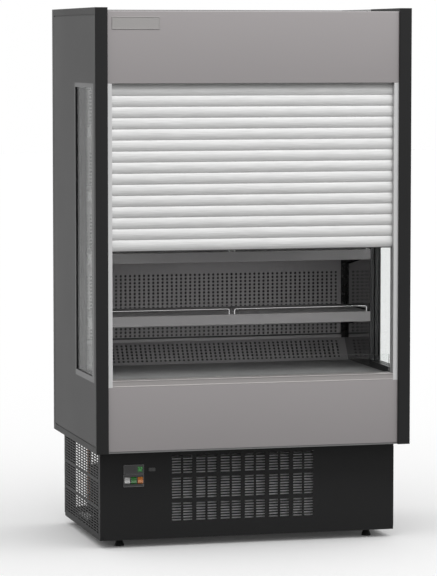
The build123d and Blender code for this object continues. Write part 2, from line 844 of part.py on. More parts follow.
# a rocker's upper half stands pressed in: its two faces meet in a shallow crease at the pivot's height
rocker_face_angle = 38
rocker_back_angle = 125
rocker_crease = rocker_radius * cos(radians(rocker_face_angle)) - rocker_crown
for name, x in rocker_places:
    upper_face = on_pivot(rocker_radius, rocker_face_angle + rocker_tilt)
    lower_face = on_pivot(rocker_radius, -rocker_face_angle + rocker_tilt)
    with BuildPart() as rocker:
        with BuildSketch(side_plane(x - rocker_width / 2)):
            with BuildLine():
                Line(on_pivot(rocker_crease, rocker_tilt), upper_face)
                ThreePointArc(upper_face, on_pivot(rocker_radius, 90), on_pivot(rocker_radius, rocker_back_angle))
                Line(on_pivot(rocker_radius, rocker_back_angle), on_pivot(rocker_radius, -rocker_back_angle))
                ThreePointArc(on_pivot(rocker_radius, -rocker_back_angle), on_pivot(rocker_radius, -90),
                              lower_face)
                Line(lower_face, on_pivot(rocker_crease, rocker_tilt))
            make_face()
        extrude(amount=rocker_width)
        pin_end = rocker_width / 2 + rocker_pin_length
        rod((x - pin_end, pivot_y, bezel_z), (x + pin_end, pivot_y, bezel_z), rocker_pin_diameter)
    finish(rocker, name)

with BuildPart() as socket_cover:
    block((socket_cover_x - socket_cover_width / 2, socket_cover_x + socket_cover_width / 2),
          (base_front - socket_cover_proud, base_front),
          (socket_cover_z - socket_cover_height / 2, socket_cover_z + socket_cover_height / 2))
    fillet(socket_cover.edges().filter_by(Axis.Y), radius=socket_cover_proud)
finish(socket_cover, "socket_cover")

# ---------------------------------------------------------------- levelling feet
for name, x, y in foot_places:
    with BuildPart() as foot:
        with BuildSketch(Plane.XZ.offset(-y)):
            with BuildLine():
                Polyline(
                    (x, 0),
                    (x + foot_diameter / 2, 0),
                    (x + foot_diameter / 2, foot_rim),
                    (x + foot_neck_diameter / 2, foot_height),
                    (x + stud_diameter / 2, foot_height),
                    (x + stud_diameter / 2, foot_height + stud_reach),
                    (x, foot_height + stud_reach),
                    close=True,
                )
            make_face()
        revolve(axis=Axis((x, y, 0), (0, 0, 1)))
    finish(foot, name)


# ---------------------------------------------------------------- refrigeration pieces
def coil(x_range, y_range, z_range, fins, along, columns, rows, row_pitch):
    """Upright fins on straight tubes, which half-round bends join in pairs beyond both ends.

    Each bend joins two tubes that lie bend_pitch apart in the direction along. There are columns bends
    in that direction and rows of them, row_pitch apart, across it.
    """
    low, high = x_range
    middle_y = sum(y_range) / 2
    middle_z = sum(z_range) / 2
    fin_pitch = (high - low - fin_thickness) / (fins - 1)
    with Locations(((low + high) / 2, middle_y, middle_z)):
        with GridLocations(fin_pitch, 0, fins, 1):
            Box(fin_thickness, y_range[1] - y_range[0], z_range[1] - z_range[0])
    with Locations(Plane(origin=(low, middle_y, middle_z), x_dir=along, z_dir=(1, 0, 0))):
        with GridLocations(bend_pitch, row_pitch, 2 * columns, rows):
            Cylinder(bend_diameter / 2, high - low, align=(Align.CENTER, Align.CENTER, Align.MIN))
    for end_x, side in ((low, -1), (high, 1)):
        with Locations(Plane(origin=(end_x, middle_y, middle_z), x_dir=along, z_dir=(side, 0, 0))):
            with GridLocations(2 * bend_pitch, row_pitch, columns, rows):
                Torus(bend_pitch / 2, bend_diameter / 2, major_angle=180, rotation=(90, 0, 0),
                      align=(Align.CENTER, Align.MIN, Align.CENTER))


def fan(x, plate_y, z, diameter, hub_diameter, hub_length, blades, pitch):
    """Flat pitched blades on a hub in the plate's opening, with a shaft back to the motor."""
    hub_front = plate_y - hub_length / 2
    hub_rear = plate_y + hub_length / 2
    root = hub_diameter / 2 - fan_blade_thickness
    span = diameter / 2 - root
    chord = (hub_length - fan_blade_thickness) / sin(radians(pitch))
    with Locations(Plane(origin=(x, plate_y, z), x_dir=(1, 0, 0), z_dir=(0, -1, 0))):
        with PolarLocations(root + span / 2, blades):
            Box(span, chord, fan_blade_thickness, rotation=(pitch, 0, 0))
    rod((x, hub_front, z), (x, hub_rear, z), diameter, Mode.INTERSECT)
    rod((x, hub_front, z), (x, hub_rear, z), hub_diameter)
    rod((x, hub_rear, z), (x, hub_rear + motor_gap + motor_length / 2, z), fan_shaft_diameter)


def motor(x, plate_rear, z, opening, start):
    """A motor behind an opening, on four arms with feet on the plate, bored for the fan's shaft."""
    arm_reach = opening / 2 + sheet + motor_arm
    with Locations(Plane(origin=(x, start, z), x_dir=(1, 0, 0), z_dir=(0, 1, 0))):
        Cylinder(motor_diameter / 2, motor_length, align=(Align.CENTER, Align.CENTER, Align.MIN))
        with PolarLocations(arm_reach / 2, 4, start_angle=45):
            Box(arm_reach, motor_arm, motor_arm, align=(Align.CENTER, Align.CENTER, Align.MIN))
        with PolarLocations(arm_reach - motor_arm / 2, 4, start_angle=45):
            Box(motor_arm, motor_arm, start - plate_rear, align=(Align.CENTER, Align.CENTER, Align.MAX))
    rod((x, start, z), (x, start + motor_length, z), fan_shaft_diameter + 2 * fan_shaft_play, Mode.SUBTRACT)


duct_fans = (("evaporator_fan_left", -duct_fan_x), ("evaporator_fan_right", duct_fan_x))
duct_fan_opening = duct_fan_diameter + 2 * duct_fan_tip_gap
duct_fan_y = duct_fan_plate + sheet / 2
duct_motor_start = duct_fan_y + fan_hub_length / 2 + motor_gap
with BuildPart() as evaporator_fan_housing:
    block((-inner, inner), (duct_fan_plate, duct_fan_plate + sheet), (floor_top, duct_fan_plate_top))
    for name, x in duct_fans:
        rod((x, duct_fan_plate, duct_fan_z), (x, duct_fan_plate + sheet, duct_fan_z),
            duct_fan_opening, Mode.SUBTRACT)
        motor(x, duct_fan_plate + sheet, duct_fan_z, duct_fan_opening, duct_motor_start)
finish(evaporator_fan_housing, "evaporator_fan_housing")

for name, x in duct_fans:
    with BuildPart() as duct_fan:
        fan(x, duct_fan_y, duct_fan_z, duct_fan_diameter, fan_hub_diameter, fan_hub_length,
            duct_fan_blades, fan_blade_pitch)
    finish(duct_fan, name)

coil_rear = duct_face - coil_rear_gap
with BuildPart() as evaporator_coil:
    coil((-coil_width / 2, coil_width / 2), (coil_rear - coil_depth, coil_rear),
         (floor_top, floor_top + coil_height), evaporator_fins, (0, 1, 0),
         evaporator_bend_columns, evaporator_bend_rows, bend_pitch)
finish(evaporator_coil, "evaporator_coil")

condenser_x = (front_grille_x - condenser_width / 2, front_grille_x + condenser_width / 2)
condenser_top = pan_top + condenser_height
condenser_y = (condenser_front + shroud_front) / 2
with BuildPart() as condenser_coil:
    coil(condenser_x, (condenser_front, shroud_front), (pan_top, condenser_top), condenser_fins, (0, 0, 1),
         condenser_bend_columns, condenser_bend_rows, condenser_depth / condenser_bend_rows)
finish(condenser_coil, "condenser_coil")

shroud_plate = shroud_rear - sheet
cooling_fan_y = shroud_plate + sheet / 2
cooling_fan_opening = cooling_fan_diameter + 2 * cooling_fan_tip_gap
cooling_motor_start = cooling_fan_y + cooling_hub_length / 2 + motor_gap
with BuildPart() as condenser_shroud:
    block(condenser_x, (shroud_front, shroud_rear), (pan_top, condenser_top))
    block((condenser_x[0] + sheet, condenser_x[1] - sheet), (shroud_front, shroud_plate),
          (pan_top + sheet, condenser_top - sheet), Mode.SUBTRACT)
    rod((front_grille_x, shroud_plate, cooling_fan_z), (front_grille_x, shroud_rear, cooling_fan_z),
        cooling_fan_opening, Mode.SUBTRACT)
    motor(front_grille_x, shroud_rear, cooling_fan_z, cooling_fan_opening, cooling_motor_start)
finish(condenser_shroud, "condenser_shroud")

with BuildPart() as condenser_fan:
    fan(front_grille_x, cooling_fan_y, cooling_fan_z, cooling_fan_diameter, cooling_hub_diameter,
        cooling_hub_length, cooling_fan_blades, cooling_fan_pitch)
finish(condenser_fan, "condenser_fan")

stand_top = pan_top + compressor_stand
shell_bottom = stand_top + compressor_plate
shell_top = shell_bottom + compressor_height
stub_diameter = pipe_diameter + 2 * sheet
suction_z = shell_bottom + compressor_height / 3
stub_front = compressor_y - compressor_diameter / 2 - stub_diameter / 2
with BuildPart() as compressor:
    with Locations((compressor_x, compressor_y, shell_bottom + compressor_height / 2)):
        Cylinder(compressor_diameter / 2, compressor_height)
    fillet(compressor.edges().filter_by(GeomType.CIRCLE), radius=compressor_dome)
    with Locations((compressor_x, compressor_y, stand_top + compressor_plate / 2)):
        Box(compressor_plate_width, compressor_plate_width, compressor_plate)
    grommet_spacing = compressor_plate_width - grommet_diameter - 2 * sheet
    with Locations((compressor_x, compressor_y, pan_top)):
        with GridLocations(grommet_spacing, grommet_spacing, 2, 2):
            Cylinder(grommet_diameter / 2, compressor_stand, align=(Align.CENTER, Align.CENTER, Align.MIN))
    rod((compressor_x, compressor_y, shell_top - compressor_dome), (compressor_x, compressor_y, shell_top + sheet),
        stub_diameter)
    rod((compressor_x, compressor_y, suction_z), (compressor_x, stub_front, suction_z), stub_diameter)
finish(compressor, "compressor")

riser_pipe_y = base_front + riser_pipe_front_gap
discharge_z = condenser_top - stub_diameter
discharge_turn_x = condenser_x[0] - pipe_bend - stub_diameter / 2
with BuildPart() as copper_pipes:
    for start, corners, end in (
        (
            (compressor_x, compressor_y, shell_top + sheet),
            [(compressor_x, compressor_y, discharge_z), (discharge_turn_x, compressor_y, discharge_z),
             (discharge_turn_x, condenser_y, discharge_z)],
            (condenser_x[0], condenser_y, discharge_z),
        ),
        (
            (compressor_x, stub_front, suction_z),
            [(compressor_x, riser_pipe_y, suction_z), (riser_pipe_x, riser_pipe_y, suction_z)],
            (riser_pipe_x, riser_pipe_y, cabinet_bottom),
        ),
    ):
        with BuildLine():
            FilletPolyline(start, *corners, end, radius=pipe_bend)
        with BuildSketch(Plane(origin=start, z_dir=Vector(*corners[0]) - Vector(*start))):
            Circle(pipe_diameter / 2)
        sweep()
finish(copper_pipes, "copper_pipes")

tray_rear = base_rear - water_tray_rear_gap
tray_x = (water_tray_x - water_tray_width / 2, water_tray_x + water_tray_width / 2)
with BuildPart() as water_tray:
    block(tray_x, (tray_rear - water_tray_depth, tray_rear), (pan_top, pan_top + water_tray_height))
    block((tray_x[0] + sheet, tray_x[1] - sheet), (tray_rear - water_tray_depth + sheet, tray_rear - sheet),
          (pan_top + sheet, pan_top + water_tray_height), Mode.SUBTRACT)
finish(water_tray, "water_tray")

gland_z = pan_top + gland_rise
with BuildPart() as cable_gland:
    rod((gland_x, base_rear, gland_z), (gland_x, base_rear + gland_length, gland_z), gland_diameter)
    rod((gland_x, base_rear, gland_z), (gland_x, base_rear + gland_length, gland_z), gland_bore, Mode.SUBTRACT)
finish(cable_gland, "cable_gland")
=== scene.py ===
# %% [markdown]
# # Open multideck display fridge with a half-lowered slatted shutter
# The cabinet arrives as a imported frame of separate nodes, each already at its place in metres. This file
# gives every node a finish worked out from shader nodes, and adds the pieces whose fine shape shows:
# the rolled slats, the perforated duct sheets, the fin pack behind the grille and the fan blades.

import json
import math

import bpy
import numpy as np
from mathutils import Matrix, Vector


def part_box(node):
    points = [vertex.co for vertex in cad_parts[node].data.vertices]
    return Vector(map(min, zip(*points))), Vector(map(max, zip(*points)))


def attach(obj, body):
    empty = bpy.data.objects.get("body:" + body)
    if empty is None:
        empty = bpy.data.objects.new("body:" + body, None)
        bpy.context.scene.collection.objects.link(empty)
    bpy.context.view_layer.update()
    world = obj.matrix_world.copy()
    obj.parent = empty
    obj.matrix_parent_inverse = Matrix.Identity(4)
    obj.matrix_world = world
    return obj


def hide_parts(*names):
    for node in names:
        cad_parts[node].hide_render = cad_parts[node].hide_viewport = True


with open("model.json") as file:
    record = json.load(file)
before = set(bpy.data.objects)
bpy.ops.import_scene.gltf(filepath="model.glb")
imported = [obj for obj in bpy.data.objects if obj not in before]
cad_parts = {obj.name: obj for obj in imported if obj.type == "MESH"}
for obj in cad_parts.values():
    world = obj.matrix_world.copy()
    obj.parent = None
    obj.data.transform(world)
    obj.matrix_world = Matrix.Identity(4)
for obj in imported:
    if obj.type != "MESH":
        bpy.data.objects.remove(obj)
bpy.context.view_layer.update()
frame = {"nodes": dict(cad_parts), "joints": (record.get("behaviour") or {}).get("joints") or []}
nodes = frame["nodes"]

# %% [markdown]
# Measurements come from the frame itself, so a piece follows the node that it dresses. `span` reads the
# lowest and highest coordinate of a node along one axis.


# %% Measurements
def span(node, axis):
    """Lowest and highest coordinate of a node along axis 0, 1 or 2, in metres."""
    low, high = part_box(node)
    return float(low[axis]), float(high[axis])


inner = span("roof_panel", 0)[1]
rail_inner = -span("sill", 0)[0]
print("inside half width:", round(inner, 4), "half width between the rails:", round(rail_inner, 4))

# %% [markdown]
# ## Shader groups
# Several finishes share an effect. Each effect is one node group with named inputs and outputs, built
# once and placed in every material that wants it, with its own values. The groups only put out colours
# and numbers; the Principled shader stays in the material, where its plain sockets are set one by one.


# %% Node helpers
def group_shell(name, inputs, outputs):
    """A new shader node group, with its input and output nodes; sockets named Colour hold a colour."""
    group = bpy.data.node_groups.new(name, "ShaderNodeTree")
    labels = [(label, "INPUT") for label in inputs] + [(label, "OUTPUT") for label in outputs]
    for label, way in labels:
        kind = "NodeSocketColor" if label == "Colour" else "NodeSocketFloat"
        socket = group.interface.new_socket(name=label, in_out=way, socket_type=kind)
        if way == "INPUT":
            socket.default_value = inputs[label]
    return group, group.nodes.new("NodeGroupInput"), group.nodes.new("NodeGroupOutput")


def wire(tree, source, target):
    """Link an output socket to an input socket."""
    tree.links.new(source, target)


def add(tree, kind, inputs=None, **settings):
    """A node with its settings, and inputs given as numbers or as sockets to link from."""
    node = tree.nodes.new(kind)
    for key, value in settings.items():
        setattr(node, key, value)
    for key, value in (inputs or {}).items():
        if isinstance(value, bpy.types.NodeSocket):
            wire(tree, value, node.inputs[key])
        else:
            node.inputs[key].default_value = value
    return node


def maths(tree, operation, *values):
    """The answer of a Math node whose inputs are the values, in order."""
    return add(tree, "ShaderNodeMath", dict(enumerate(values)), operation=operation).outputs[0]


def object_place(tree):
    """The place on the piece, in metres."""
    return add(tree, "ShaderNodeTexCoord").outputs["Object"]


def noise(tree, place, scale, detail):
    """Smooth noise about 1/2 at scale * place, with detail finer layers laid over it."""
    values = {"Vector": place, "Scale": scale, "Detail": detail}
    return add(tree, "ShaderNodeTexNoise", values).outputs["Fac"]


def mixed_number(tree, mask, first, second):
    """A number that goes from first to second as the mask goes from 0 to 1."""
    return add(tree, "ShaderNodeMix", {0: mask, 2: first, 3: second}, data_type="FLOAT").outputs[0]


def mixed_colour(tree, mask, first, second):
    """A colour that goes from first to second as the mask goes from 0 to 1."""
    return add(tree, "ShaderNodeMix", {0: mask, 6: first, 7: second}, data_type="RGBA").outputs[2]


def opaque(colour):
    """The four numbers of a colour socket, from three linear levels or from one that stands for a grey."""
    return (*np.broadcast_to(colour, 3).tolist(), 1.0)


print("one level as a socket's colour:", opaque(0.5))

# %% [markdown]
# Powder coat is paint sprayed as dust and melted: it dries with a faint orange-peel skin. Its colour
# barely changes over a panel, so the group gives a slow drift of tone, a fine bumpy height and a little
# unevenness in gloss. A painted image would need unwrapping; noise at two scales needs only the Object
# coordinates, and fits every panel.


# %% Powder coat group
def varied(group, entry, leave, pattern, amount):
    """Tone = colour * (1 + amount * (pattern - 1/2)); roughness = base + spread * (pattern - 1/2)."""
    centred = maths(group, "SUBTRACT", pattern, 0.5)
    factor = maths(group, "MULTIPLY_ADD", centred, amount, 1.0)
    tone = add(group, "ShaderNodeVectorMath", {0: entry.outputs["Colour"], "Scale": factor},
               operation="SCALE")
    gloss = maths(group, "MULTIPLY_ADD", centred, entry.outputs["Spread"], entry.outputs["Roughness"])
    wire(group, tone.outputs[0], leave.inputs["Colour"])
    wire(group, gloss, leave.inputs["Roughness"])


def make_powder_group():
    """Tone and roughness vary with slow noise, the tone by the drift; height = fine noise."""
    group, entry, leave = group_shell(
        "powder_coat",
        {"Colour": opaque(0.3), "Drift": 0.06, "Peel Scale": 700.0, "Roughness": 0.45, "Spread": 0.08},
        ["Colour", "Roughness", "Height"])
    place = object_place(group)
    varied(group, entry, leave, noise(group, place, scale=2.3, detail=3.0), entry.outputs["Drift"])
    peel = noise(group, place, scale=entry.outputs["Peel Scale"], detail=1.0)
    wire(group, peel, leave.inputs["Height"])
    return group


powder_group = make_powder_group()
print("group:", powder_group.name)

# %% [markdown]
# Rolled and drawn metal carries hair lines along the way it left the mill. Wave bands would repeat too
# evenly; noise squeezed hard across the lines looks drawn. The group multiplies each coordinate before it
# asks for the noise, so the lines run along the axis with the smallest number.


# %% Brushed metal group
def make_brushed_group():
    """Lines = noise of the place scaled by (x, y, z) stretch; tone and gloss follow the lines."""
    group, entry, leave = group_shell(
        "brushed_lines",
        {"Colour": opaque(0.6), "Contrast": 0.12, "Stretch X": 4.0, "Stretch Y": 900.0, "Stretch Z": 900.0,
         "Roughness": 0.35, "Spread": 0.15},
        ["Colour", "Roughness", "Height"])
    stretch = add(group, "ShaderNodeCombineXYZ", {axis: entry.outputs[f"Stretch {axis}"] for axis in "XYZ"})
    squeezed = add(group, "ShaderNodeVectorMath", {0: object_place(group), 1: stretch.outputs[0]},
                   operation="MULTIPLY")
    lines = noise(group, squeezed.outputs[0], scale=1.0, detail=4.0)
    varied(group, entry, leave, lines, entry.outputs["Contrast"])
    wire(group, lines, leave.inputs["Height"])
    return group


brushed_group = make_brushed_group()
print("group:", brushed_group.name)

# %% [markdown]
# The end panels are painted outside and lined with polished sheet beside the shelves, and their paint is
# darker above and below the two grooves. Cutting the mesh up could give each part a material of its own;
# a mask worked out from the place keeps the panel one piece. Comparing coordinates with limits gives ones
# and noughts: multiplied they mean "and", added they mean "or".


# %% Mask groups
def make_zone_group():
    """Mask = 1 where |x| < width and low < y < high, else 0, with x and y in metres."""
    group, entry, leave = group_shell("zone_mask", {"Width": 0.5, "Low Y": 0.0, "High Y": 0.3}, ["Mask"])
    axes = add(group, "ShaderNodeSeparateXYZ", {0: object_place(group)})
    near = maths(group, "LESS_THAN", maths(group, "ABSOLUTE", axes.outputs["X"]), entry.outputs["Width"])
    behind = maths(group, "GREATER_THAN", axes.outputs["Y"], entry.outputs["Low Y"])
    before = maths(group, "LESS_THAN", axes.outputs["Y"], entry.outputs["High Y"])
    mask = maths(group, "MULTIPLY", near, maths(group, "MULTIPLY", behind, before))
    wire(group, mask, leave.inputs["Mask"])
    return group


def make_band_group():
    """Mask = 1 where z is below the low line or above the high line, else 0, with z in metres."""
    group, entry, leave = group_shell("band_mask", {"Low Z": 0.39, "High Z": 1.96}, ["Mask"])
    height = add(group, "ShaderNodeSeparateXYZ", {0: object_place(group)}).outputs["Z"]
    under = maths(group, "LESS_THAN", height, entry.outputs["Low Z"])
    over = maths(group, "GREATER_THAN", height, entry.outputs["High Z"])
    wire(group, maths(group, "ADD", under, over), leave.inputs["Mask"])
    return group


zone_group = make_zone_group()
band_group = make_band_group()
print("groups:", zone_group.name, band_group.name)

# %% [markdown]
# ## Materials
# Three makers cover most of the cabinet: powder coat for painted sheet, brushed metal for rails and
# slats, and moulded plastic. Each places its group, feeds colour, roughness and a bump from it, and sets
# the plain sockets of the Principled shader directly.


# %% Material makers
def shell(name, values):
    """A material, its tree and its Principled shader, with some of the shader's plain sockets set."""
    material = bpy.data.materials.new(name)
    material.use_nodes = True
    principled = material.node_tree.nodes["Principled BSDF"]
    for key, value in values.items():
        principled.inputs[key].default_value = value
    return material, material.node_tree, principled


def finish_from(tree, principled, group, values, bump, depth):
    """Place a group with its values and feed the shader: colour, roughness, and bump from its height."""
    effect = add(tree, "ShaderNodeGroup", values, node_tree=group)
    wire(tree, effect.outputs["Colour"], principled.inputs["Base Color"])
    wire(tree, effect.outputs["Roughness"], principled.inputs["Roughness"])
    relief = add(tree, "ShaderNodeBump", {"Height": effect.outputs["Height"], "Strength": bump,
                                          "Distance": depth})
    wire(tree, relief.outputs["Normal"], principled.inputs["Normal"])
    return effect


PEEL_DEPTH, HAIRLINE_DEPTH, MOULD_DEPTH = 0.0004, 0.0002, 0.0002


def powder(name, colour, roughness=0.45, drift=0.06, bump=0.12, peel=700.0, gloss=0.3):
    """Powder-coated sheet; gloss is the shader's specular level, low for a matt coat."""
    material, tree, principled = shell(name, {"Specular IOR Level": gloss})
    finish_from(tree, principled, powder_group,
                {"Colour": opaque(colour), "Roughness": roughness, "Drift": drift, "Peel Scale": peel},
                bump=bump, depth=PEEL_DEPTH)
    return material


def brushed(name, colour, metallic=0.9, roughness=0.32, contrast=0.12, stretch=(4.0, 900.0, 900.0),
            gloss=0.5):
    """Metal with hair lines along the axis of the smallest stretch; low metallic is for a dull skin."""
    material, tree, principled = shell(name, {"Specular IOR Level": gloss, "Metallic": metallic})
    stretches = {f"Stretch {axis}": value for axis, value in zip("XYZ", stretch)}
    finish_from(tree, principled, brushed_group,
                {"Colour": opaque(colour), "Roughness": roughness, "Contrast": contrast, **stretches},
                bump=0.05, depth=HAIRLINE_DEPTH)
    return material


def moulded(name, colour, roughness=0.35, glow=0.0):
    """Moulded plastic with a fine spark-eroded skin; glow is for the lit parts of the display."""
    material, tree, principled = shell(name, {"Emission Strength": glow})
    effect = finish_from(tree, principled, powder_group,
                         {"Colour": opaque(colour), "Roughness": roughness, "Drift": 0.1,
                          "Peel Scale": 2400.0}, bump=0.08, depth=MOULD_DEPTH)
    if glow:
        wire(tree, effect.outputs["Colour"], principled.inputs["Emission Color"])
    return material


print("makers ready: powder, brushed, moulded")

# %% [markdown]
# The panes are clear with a faint green cast. Wiping leaves smears, which only change the gloss: slow
# noise moves the roughness between zero and a few hundredths. Real glass has an index of about 1.5, but
# the camera looks almost along the end windows, where that would mirror the white studio strongly. An
# index close to one keeps the mirror as faint as it should be.


# %% Glass
PANE_IOR = 1.06


def float_glass(name, colour, smear=0.03):
    """Clear glass; roughness = smear * slow noise."""
    material, tree, principled = shell(name, {"Base Color": opaque(colour), "Transmission Weight": 1.0,
                                              "IOR": PANE_IOR})
    effect = add(tree, "ShaderNodeGroup", {"Roughness": smear / 2, "Spread": smear}, node_tree=powder_group)
    wire(tree, effect.outputs["Roughness"], principled.inputs["Roughness"])
    return material


clear_glass = float_glass("clear_glass", (0.95, 0.96, 0.955))
print("glass:", clear_glass.name)

# %% [markdown]
# The end panels and the back each wear more than one finish. Both start as the same paint, and masks mix
# the other colours in. Both materials place the zone mask, each with limits of its own: that is what a
# group is for. The metal of the lining comes from the mask too, which switches Metallic on.


# %% Panels with two finishes
end_z = span("left_end_panel", 2)
groove_rise, groove_drop = 0.025, 0.027
LOW_GROOVE, HIGH_GROOVE = end_z[0] + groove_rise, end_z[1] - groove_drop
LINER_FRONT, LINER_REAR, LINER_PLAY = -0.028, 0.36, 0.0005
LINER_GREY, LINER_ROUGHNESS = 0.4, 0.06


def painted_panel(name, colour, gloss):
    """The paint that both panels start from, with its colour and roughness to build on."""
    material, tree, principled = shell(name, {"Specular IOR Level": gloss})
    paint = finish_from(tree, principled, powder_group,
                        {"Colour": opaque(colour), "Roughness": 0.5, "Drift": 0.06},
                        bump=0.1, depth=PEEL_DEPTH)
    return material, tree, principled, paint.outputs["Colour"], paint.outputs["Roughness"]


def zone_mask(tree, width, low_y, high_y):
    """The zone mask with its three limits set."""
    limits = {"Width": width, "Low Y": low_y, "High Y": high_y}
    return add(tree, "ShaderNodeGroup", limits, node_tree=zone_group).outputs["Mask"]


def lined_panel(name, colour, band_colour):
    """Painted panel, darker beyond its two grooves, with polished sheet inside behind LINER_FRONT."""
    material, tree, principled, paint, roughness = painted_panel(name, colour, gloss=0.12)
    bands = add(tree, "ShaderNodeGroup", {"Low Z": LOW_GROOVE, "High Z": HIGH_GROOVE}, node_tree=band_group)
    banded = mixed_colour(tree, bands.outputs["Mask"], paint, opaque(band_colour))
    mask = zone_mask(tree, inner + LINER_PLAY, LINER_FRONT, LINER_REAR)
    wire(tree, mixed_colour(tree, mask, banded, opaque(LINER_GREY)), principled.inputs["Base Color"])
    wire(tree, mixed_number(tree, mask, roughness, LINER_ROUGHNESS), principled.inputs["Roughness"])
    wire(tree, mask, principled.inputs["Metallic"])
    return material


def edged_panel(name, colour, edge_colour, width):
    """Painted panel whose two side edges, outside the half width, are painted another colour."""
    material, tree, principled, paint, _ = painted_panel(name, colour, gloss=0.25)
    mask = zone_mask(tree, width, -1.0, 1.0)
    wire(tree, mixed_colour(tree, mask, opaque(edge_colour), paint), principled.inputs["Base Color"])
    return material


print("grooves at", round(LOW_GROOVE, 4), "and", round(HIGH_GROOVE, 4))

# %% [markdown]
# ## Surfaces from numbers
# A new piece is a closed mesh worked out with numpy. `closed_piece` hands vertices and faces to Blender,
# turns the shell outwards if its signed volume is negative, smooths it and keeps real corners sharp.


# %% Mesh maker
def signed_volume(points, faces):
    """Sum over the fan triangles (a, b, c) of each face of a . (b x c) / 6."""
    total = 0.0
    for block in faces:
        first = points[block[:, 0]]
        for step in range(1, block.shape[1] - 1):
            second, third = points[block[:, step]], points[block[:, step + 1]]
            total += float(np.einsum("ij,ij->", first, np.cross(second, third))) / 6
    return total


def outward(points, faces):
    """The same shell, with every face turned round if its signed volume is negative."""
    if signed_volume(points, faces) < 0:
        faces = [block[:, ::-1] for block in faces]
    return points, faces


def closed_piece(name, surface, material, body="cabinet", replaces=(), sharp=35.0):
    """A piece from a surface, which is points (n, 3) and blocks of faces (m, k), riding on a body."""
    points, faces = outward(*surface)
    mesh = bpy.data.meshes.new(name)
    mesh.from_pydata(points.tolist(), [], [row for block in faces for row in block.tolist()])
    mesh.shade_smooth()
    mesh.set_sharp_from_angle(angle=math.radians(sharp))
    mesh.materials.append(material)
    piece = bpy.data.objects.new(name, mesh)
    bpy.context.scene.collection.objects.link(piece)
    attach(piece, body)
    if replaces:
        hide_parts(*replaces)
    print(f"{name}: {len(points)} points, {sum(len(block) for block in faces)} faces")


print("mesh maker ready")

# %% [markdown]
# Folded sheet, posts and slats all keep one profile along their length. `rounded` turns a plain outline
# into one with bends at its corners, and `carried` runs an outline along an axis and caps both ends. A
# Bevel modifier could round a box as well, but gives every edge the same radius; here each bend has its
# own.


# %% Profiles
def rounded(corners, radii, steps=5):
    """Outline with each corner cut by an arc: it starts and ends radius * tan(turn / 2) from the corner.

    An arc of n points turns evenly from one side's normal to the next's, about the centre that lies
    radius / cos(turn / 2) from the corner along the bisector. Radius 0 keeps the corner.
    """
    corners = np.asarray(corners, float)
    outline = []
    for index, radius in enumerate(radii):
        corner = corners[index]
        back = corners[index - 1] - corner
        ahead = corners[(index + 1) % len(corners)] - corner
        back, ahead = back / np.linalg.norm(back), ahead / np.linalg.norm(ahead)
        if radius <= 0:
            outline.append(corner[None, :])
            continue
        half_open = math.acos(np.clip(back @ ahead, -1, 1)) / 2
        middle = (back + ahead) / np.linalg.norm(back + ahead)
        centre = corner + middle * radius / math.sin(half_open)
        start = corner + back * radius / math.tan(half_open) - centre
        end = corner + ahead * radius / math.tan(half_open) - centre
        sweep = np.linspace(0, 1, steps + 1)[:, None]
        opening = math.pi - 2 * half_open
        arc = (np.sin((1 - sweep) * opening) * start + np.sin(sweep * opening) * end) / math.sin(opening)
        outline.append(centre + arc)
    return np.vstack(outline)


def ring_quads(rings, sides, closed=False):
    """Faces from each ring of points to the next, and from the last to the first if closed."""
    low = np.arange(rings if closed else rings - 1)[:, None] * sides
    high = (low + sides) % (rings * sides)
    here, there = np.arange(sides), (np.arange(sides) + 1) % sides
    return np.stack([low + here, low + there, high + there, high + here], axis=-1).reshape(-1, 4)


def ring_caps(rings, sides):
    """One face over the first ring, and one over the last."""
    return np.stack([np.arange(sides)[::-1], np.arange(sides) + (rings - 1) * sides])


def grid_rim(tall, wide, layer):
    """Faces that join a grid's border to the same border one layer of points further on."""
    index = np.arange(tall * wide).reshape(tall, wide)
    border = np.concatenate([index[:, 0], index[-1, 1:], index[-2::-1, -1], index[0, -2:0:-1]])
    after = np.roll(border, -1)
    return np.stack([after, border, border + layer, after + layer], axis=1)


def rectangle(first, second, radii):
    """Rounded rectangle between two limits of one coordinate and two limits of the other."""
    corners = [(first[0], second[0]), (first[1], second[0]), (first[1], second[1]), (first[0], second[1])]
    return rounded(corners, radii)


def carried(outline, low, high, axis=0):
    """Points and faces of a closed outline (n, 2) carried from low to high along an axis.

    The outline's two numbers are the other two coordinates in X, Y, Z order.
    """
    outline = np.asarray(outline, float)
    count = len(outline)
    others = [index for index in range(3) if index != axis]
    points = np.zeros((2 * count, 3))
    for end, value in enumerate((low, high)):
        rows = slice(end * count, (end + 1) * count)
        points[rows, axis] = value
        points[rows, others[0]] = outline[:, 0]
        points[rows, others[1]] = outline[:, 1]
    return points, [ring_quads(2, count), ring_caps(2, count)]


def joined(shells):
    """Several (points, faces) shells as one: each one's face numbers move up by the points before it."""
    points, faces, base = [], [], 0
    for shell_points, shell_faces in shells:
        shell_points, shell_faces = outward(shell_points, shell_faces)
        points.append(shell_points)
        faces.extend(np.asarray(block) + base for block in shell_faces)
        base += len(shell_points)
    return np.vstack(points), faces


def spaced(count, pitch):
    """Places about zero, a pitch apart: place k = (k - (count - 1) / 2) * pitch."""
    return (np.arange(count) - (count - 1) / 2) * pitch


def blocks(centres, sizes):
    """Boxes about centres (n, 3) with full sizes (n, 3): each corner is centre + sign * size / 2."""
    centres, sizes = np.atleast_2d(centres), np.atleast_2d(sizes)
    signs = np.array([(x, y, z) for x in (-1, 1) for y in (-1, 1) for z in (-1, 1)])
    points = (centres[:, None, :] + signs[None] * sizes[:, None, :] / 2).reshape(-1, 3)
    quads = np.array([(0, 1, 3, 2), (4, 6, 7, 5), (0, 4, 5, 1), (2, 3, 7, 6), (0, 2, 6, 4), (1, 5, 7, 3)])
    faces = (np.arange(len(centres))[:, None, None] * 8 + quads[None]).reshape(-1, 4)
    return points, [faces]


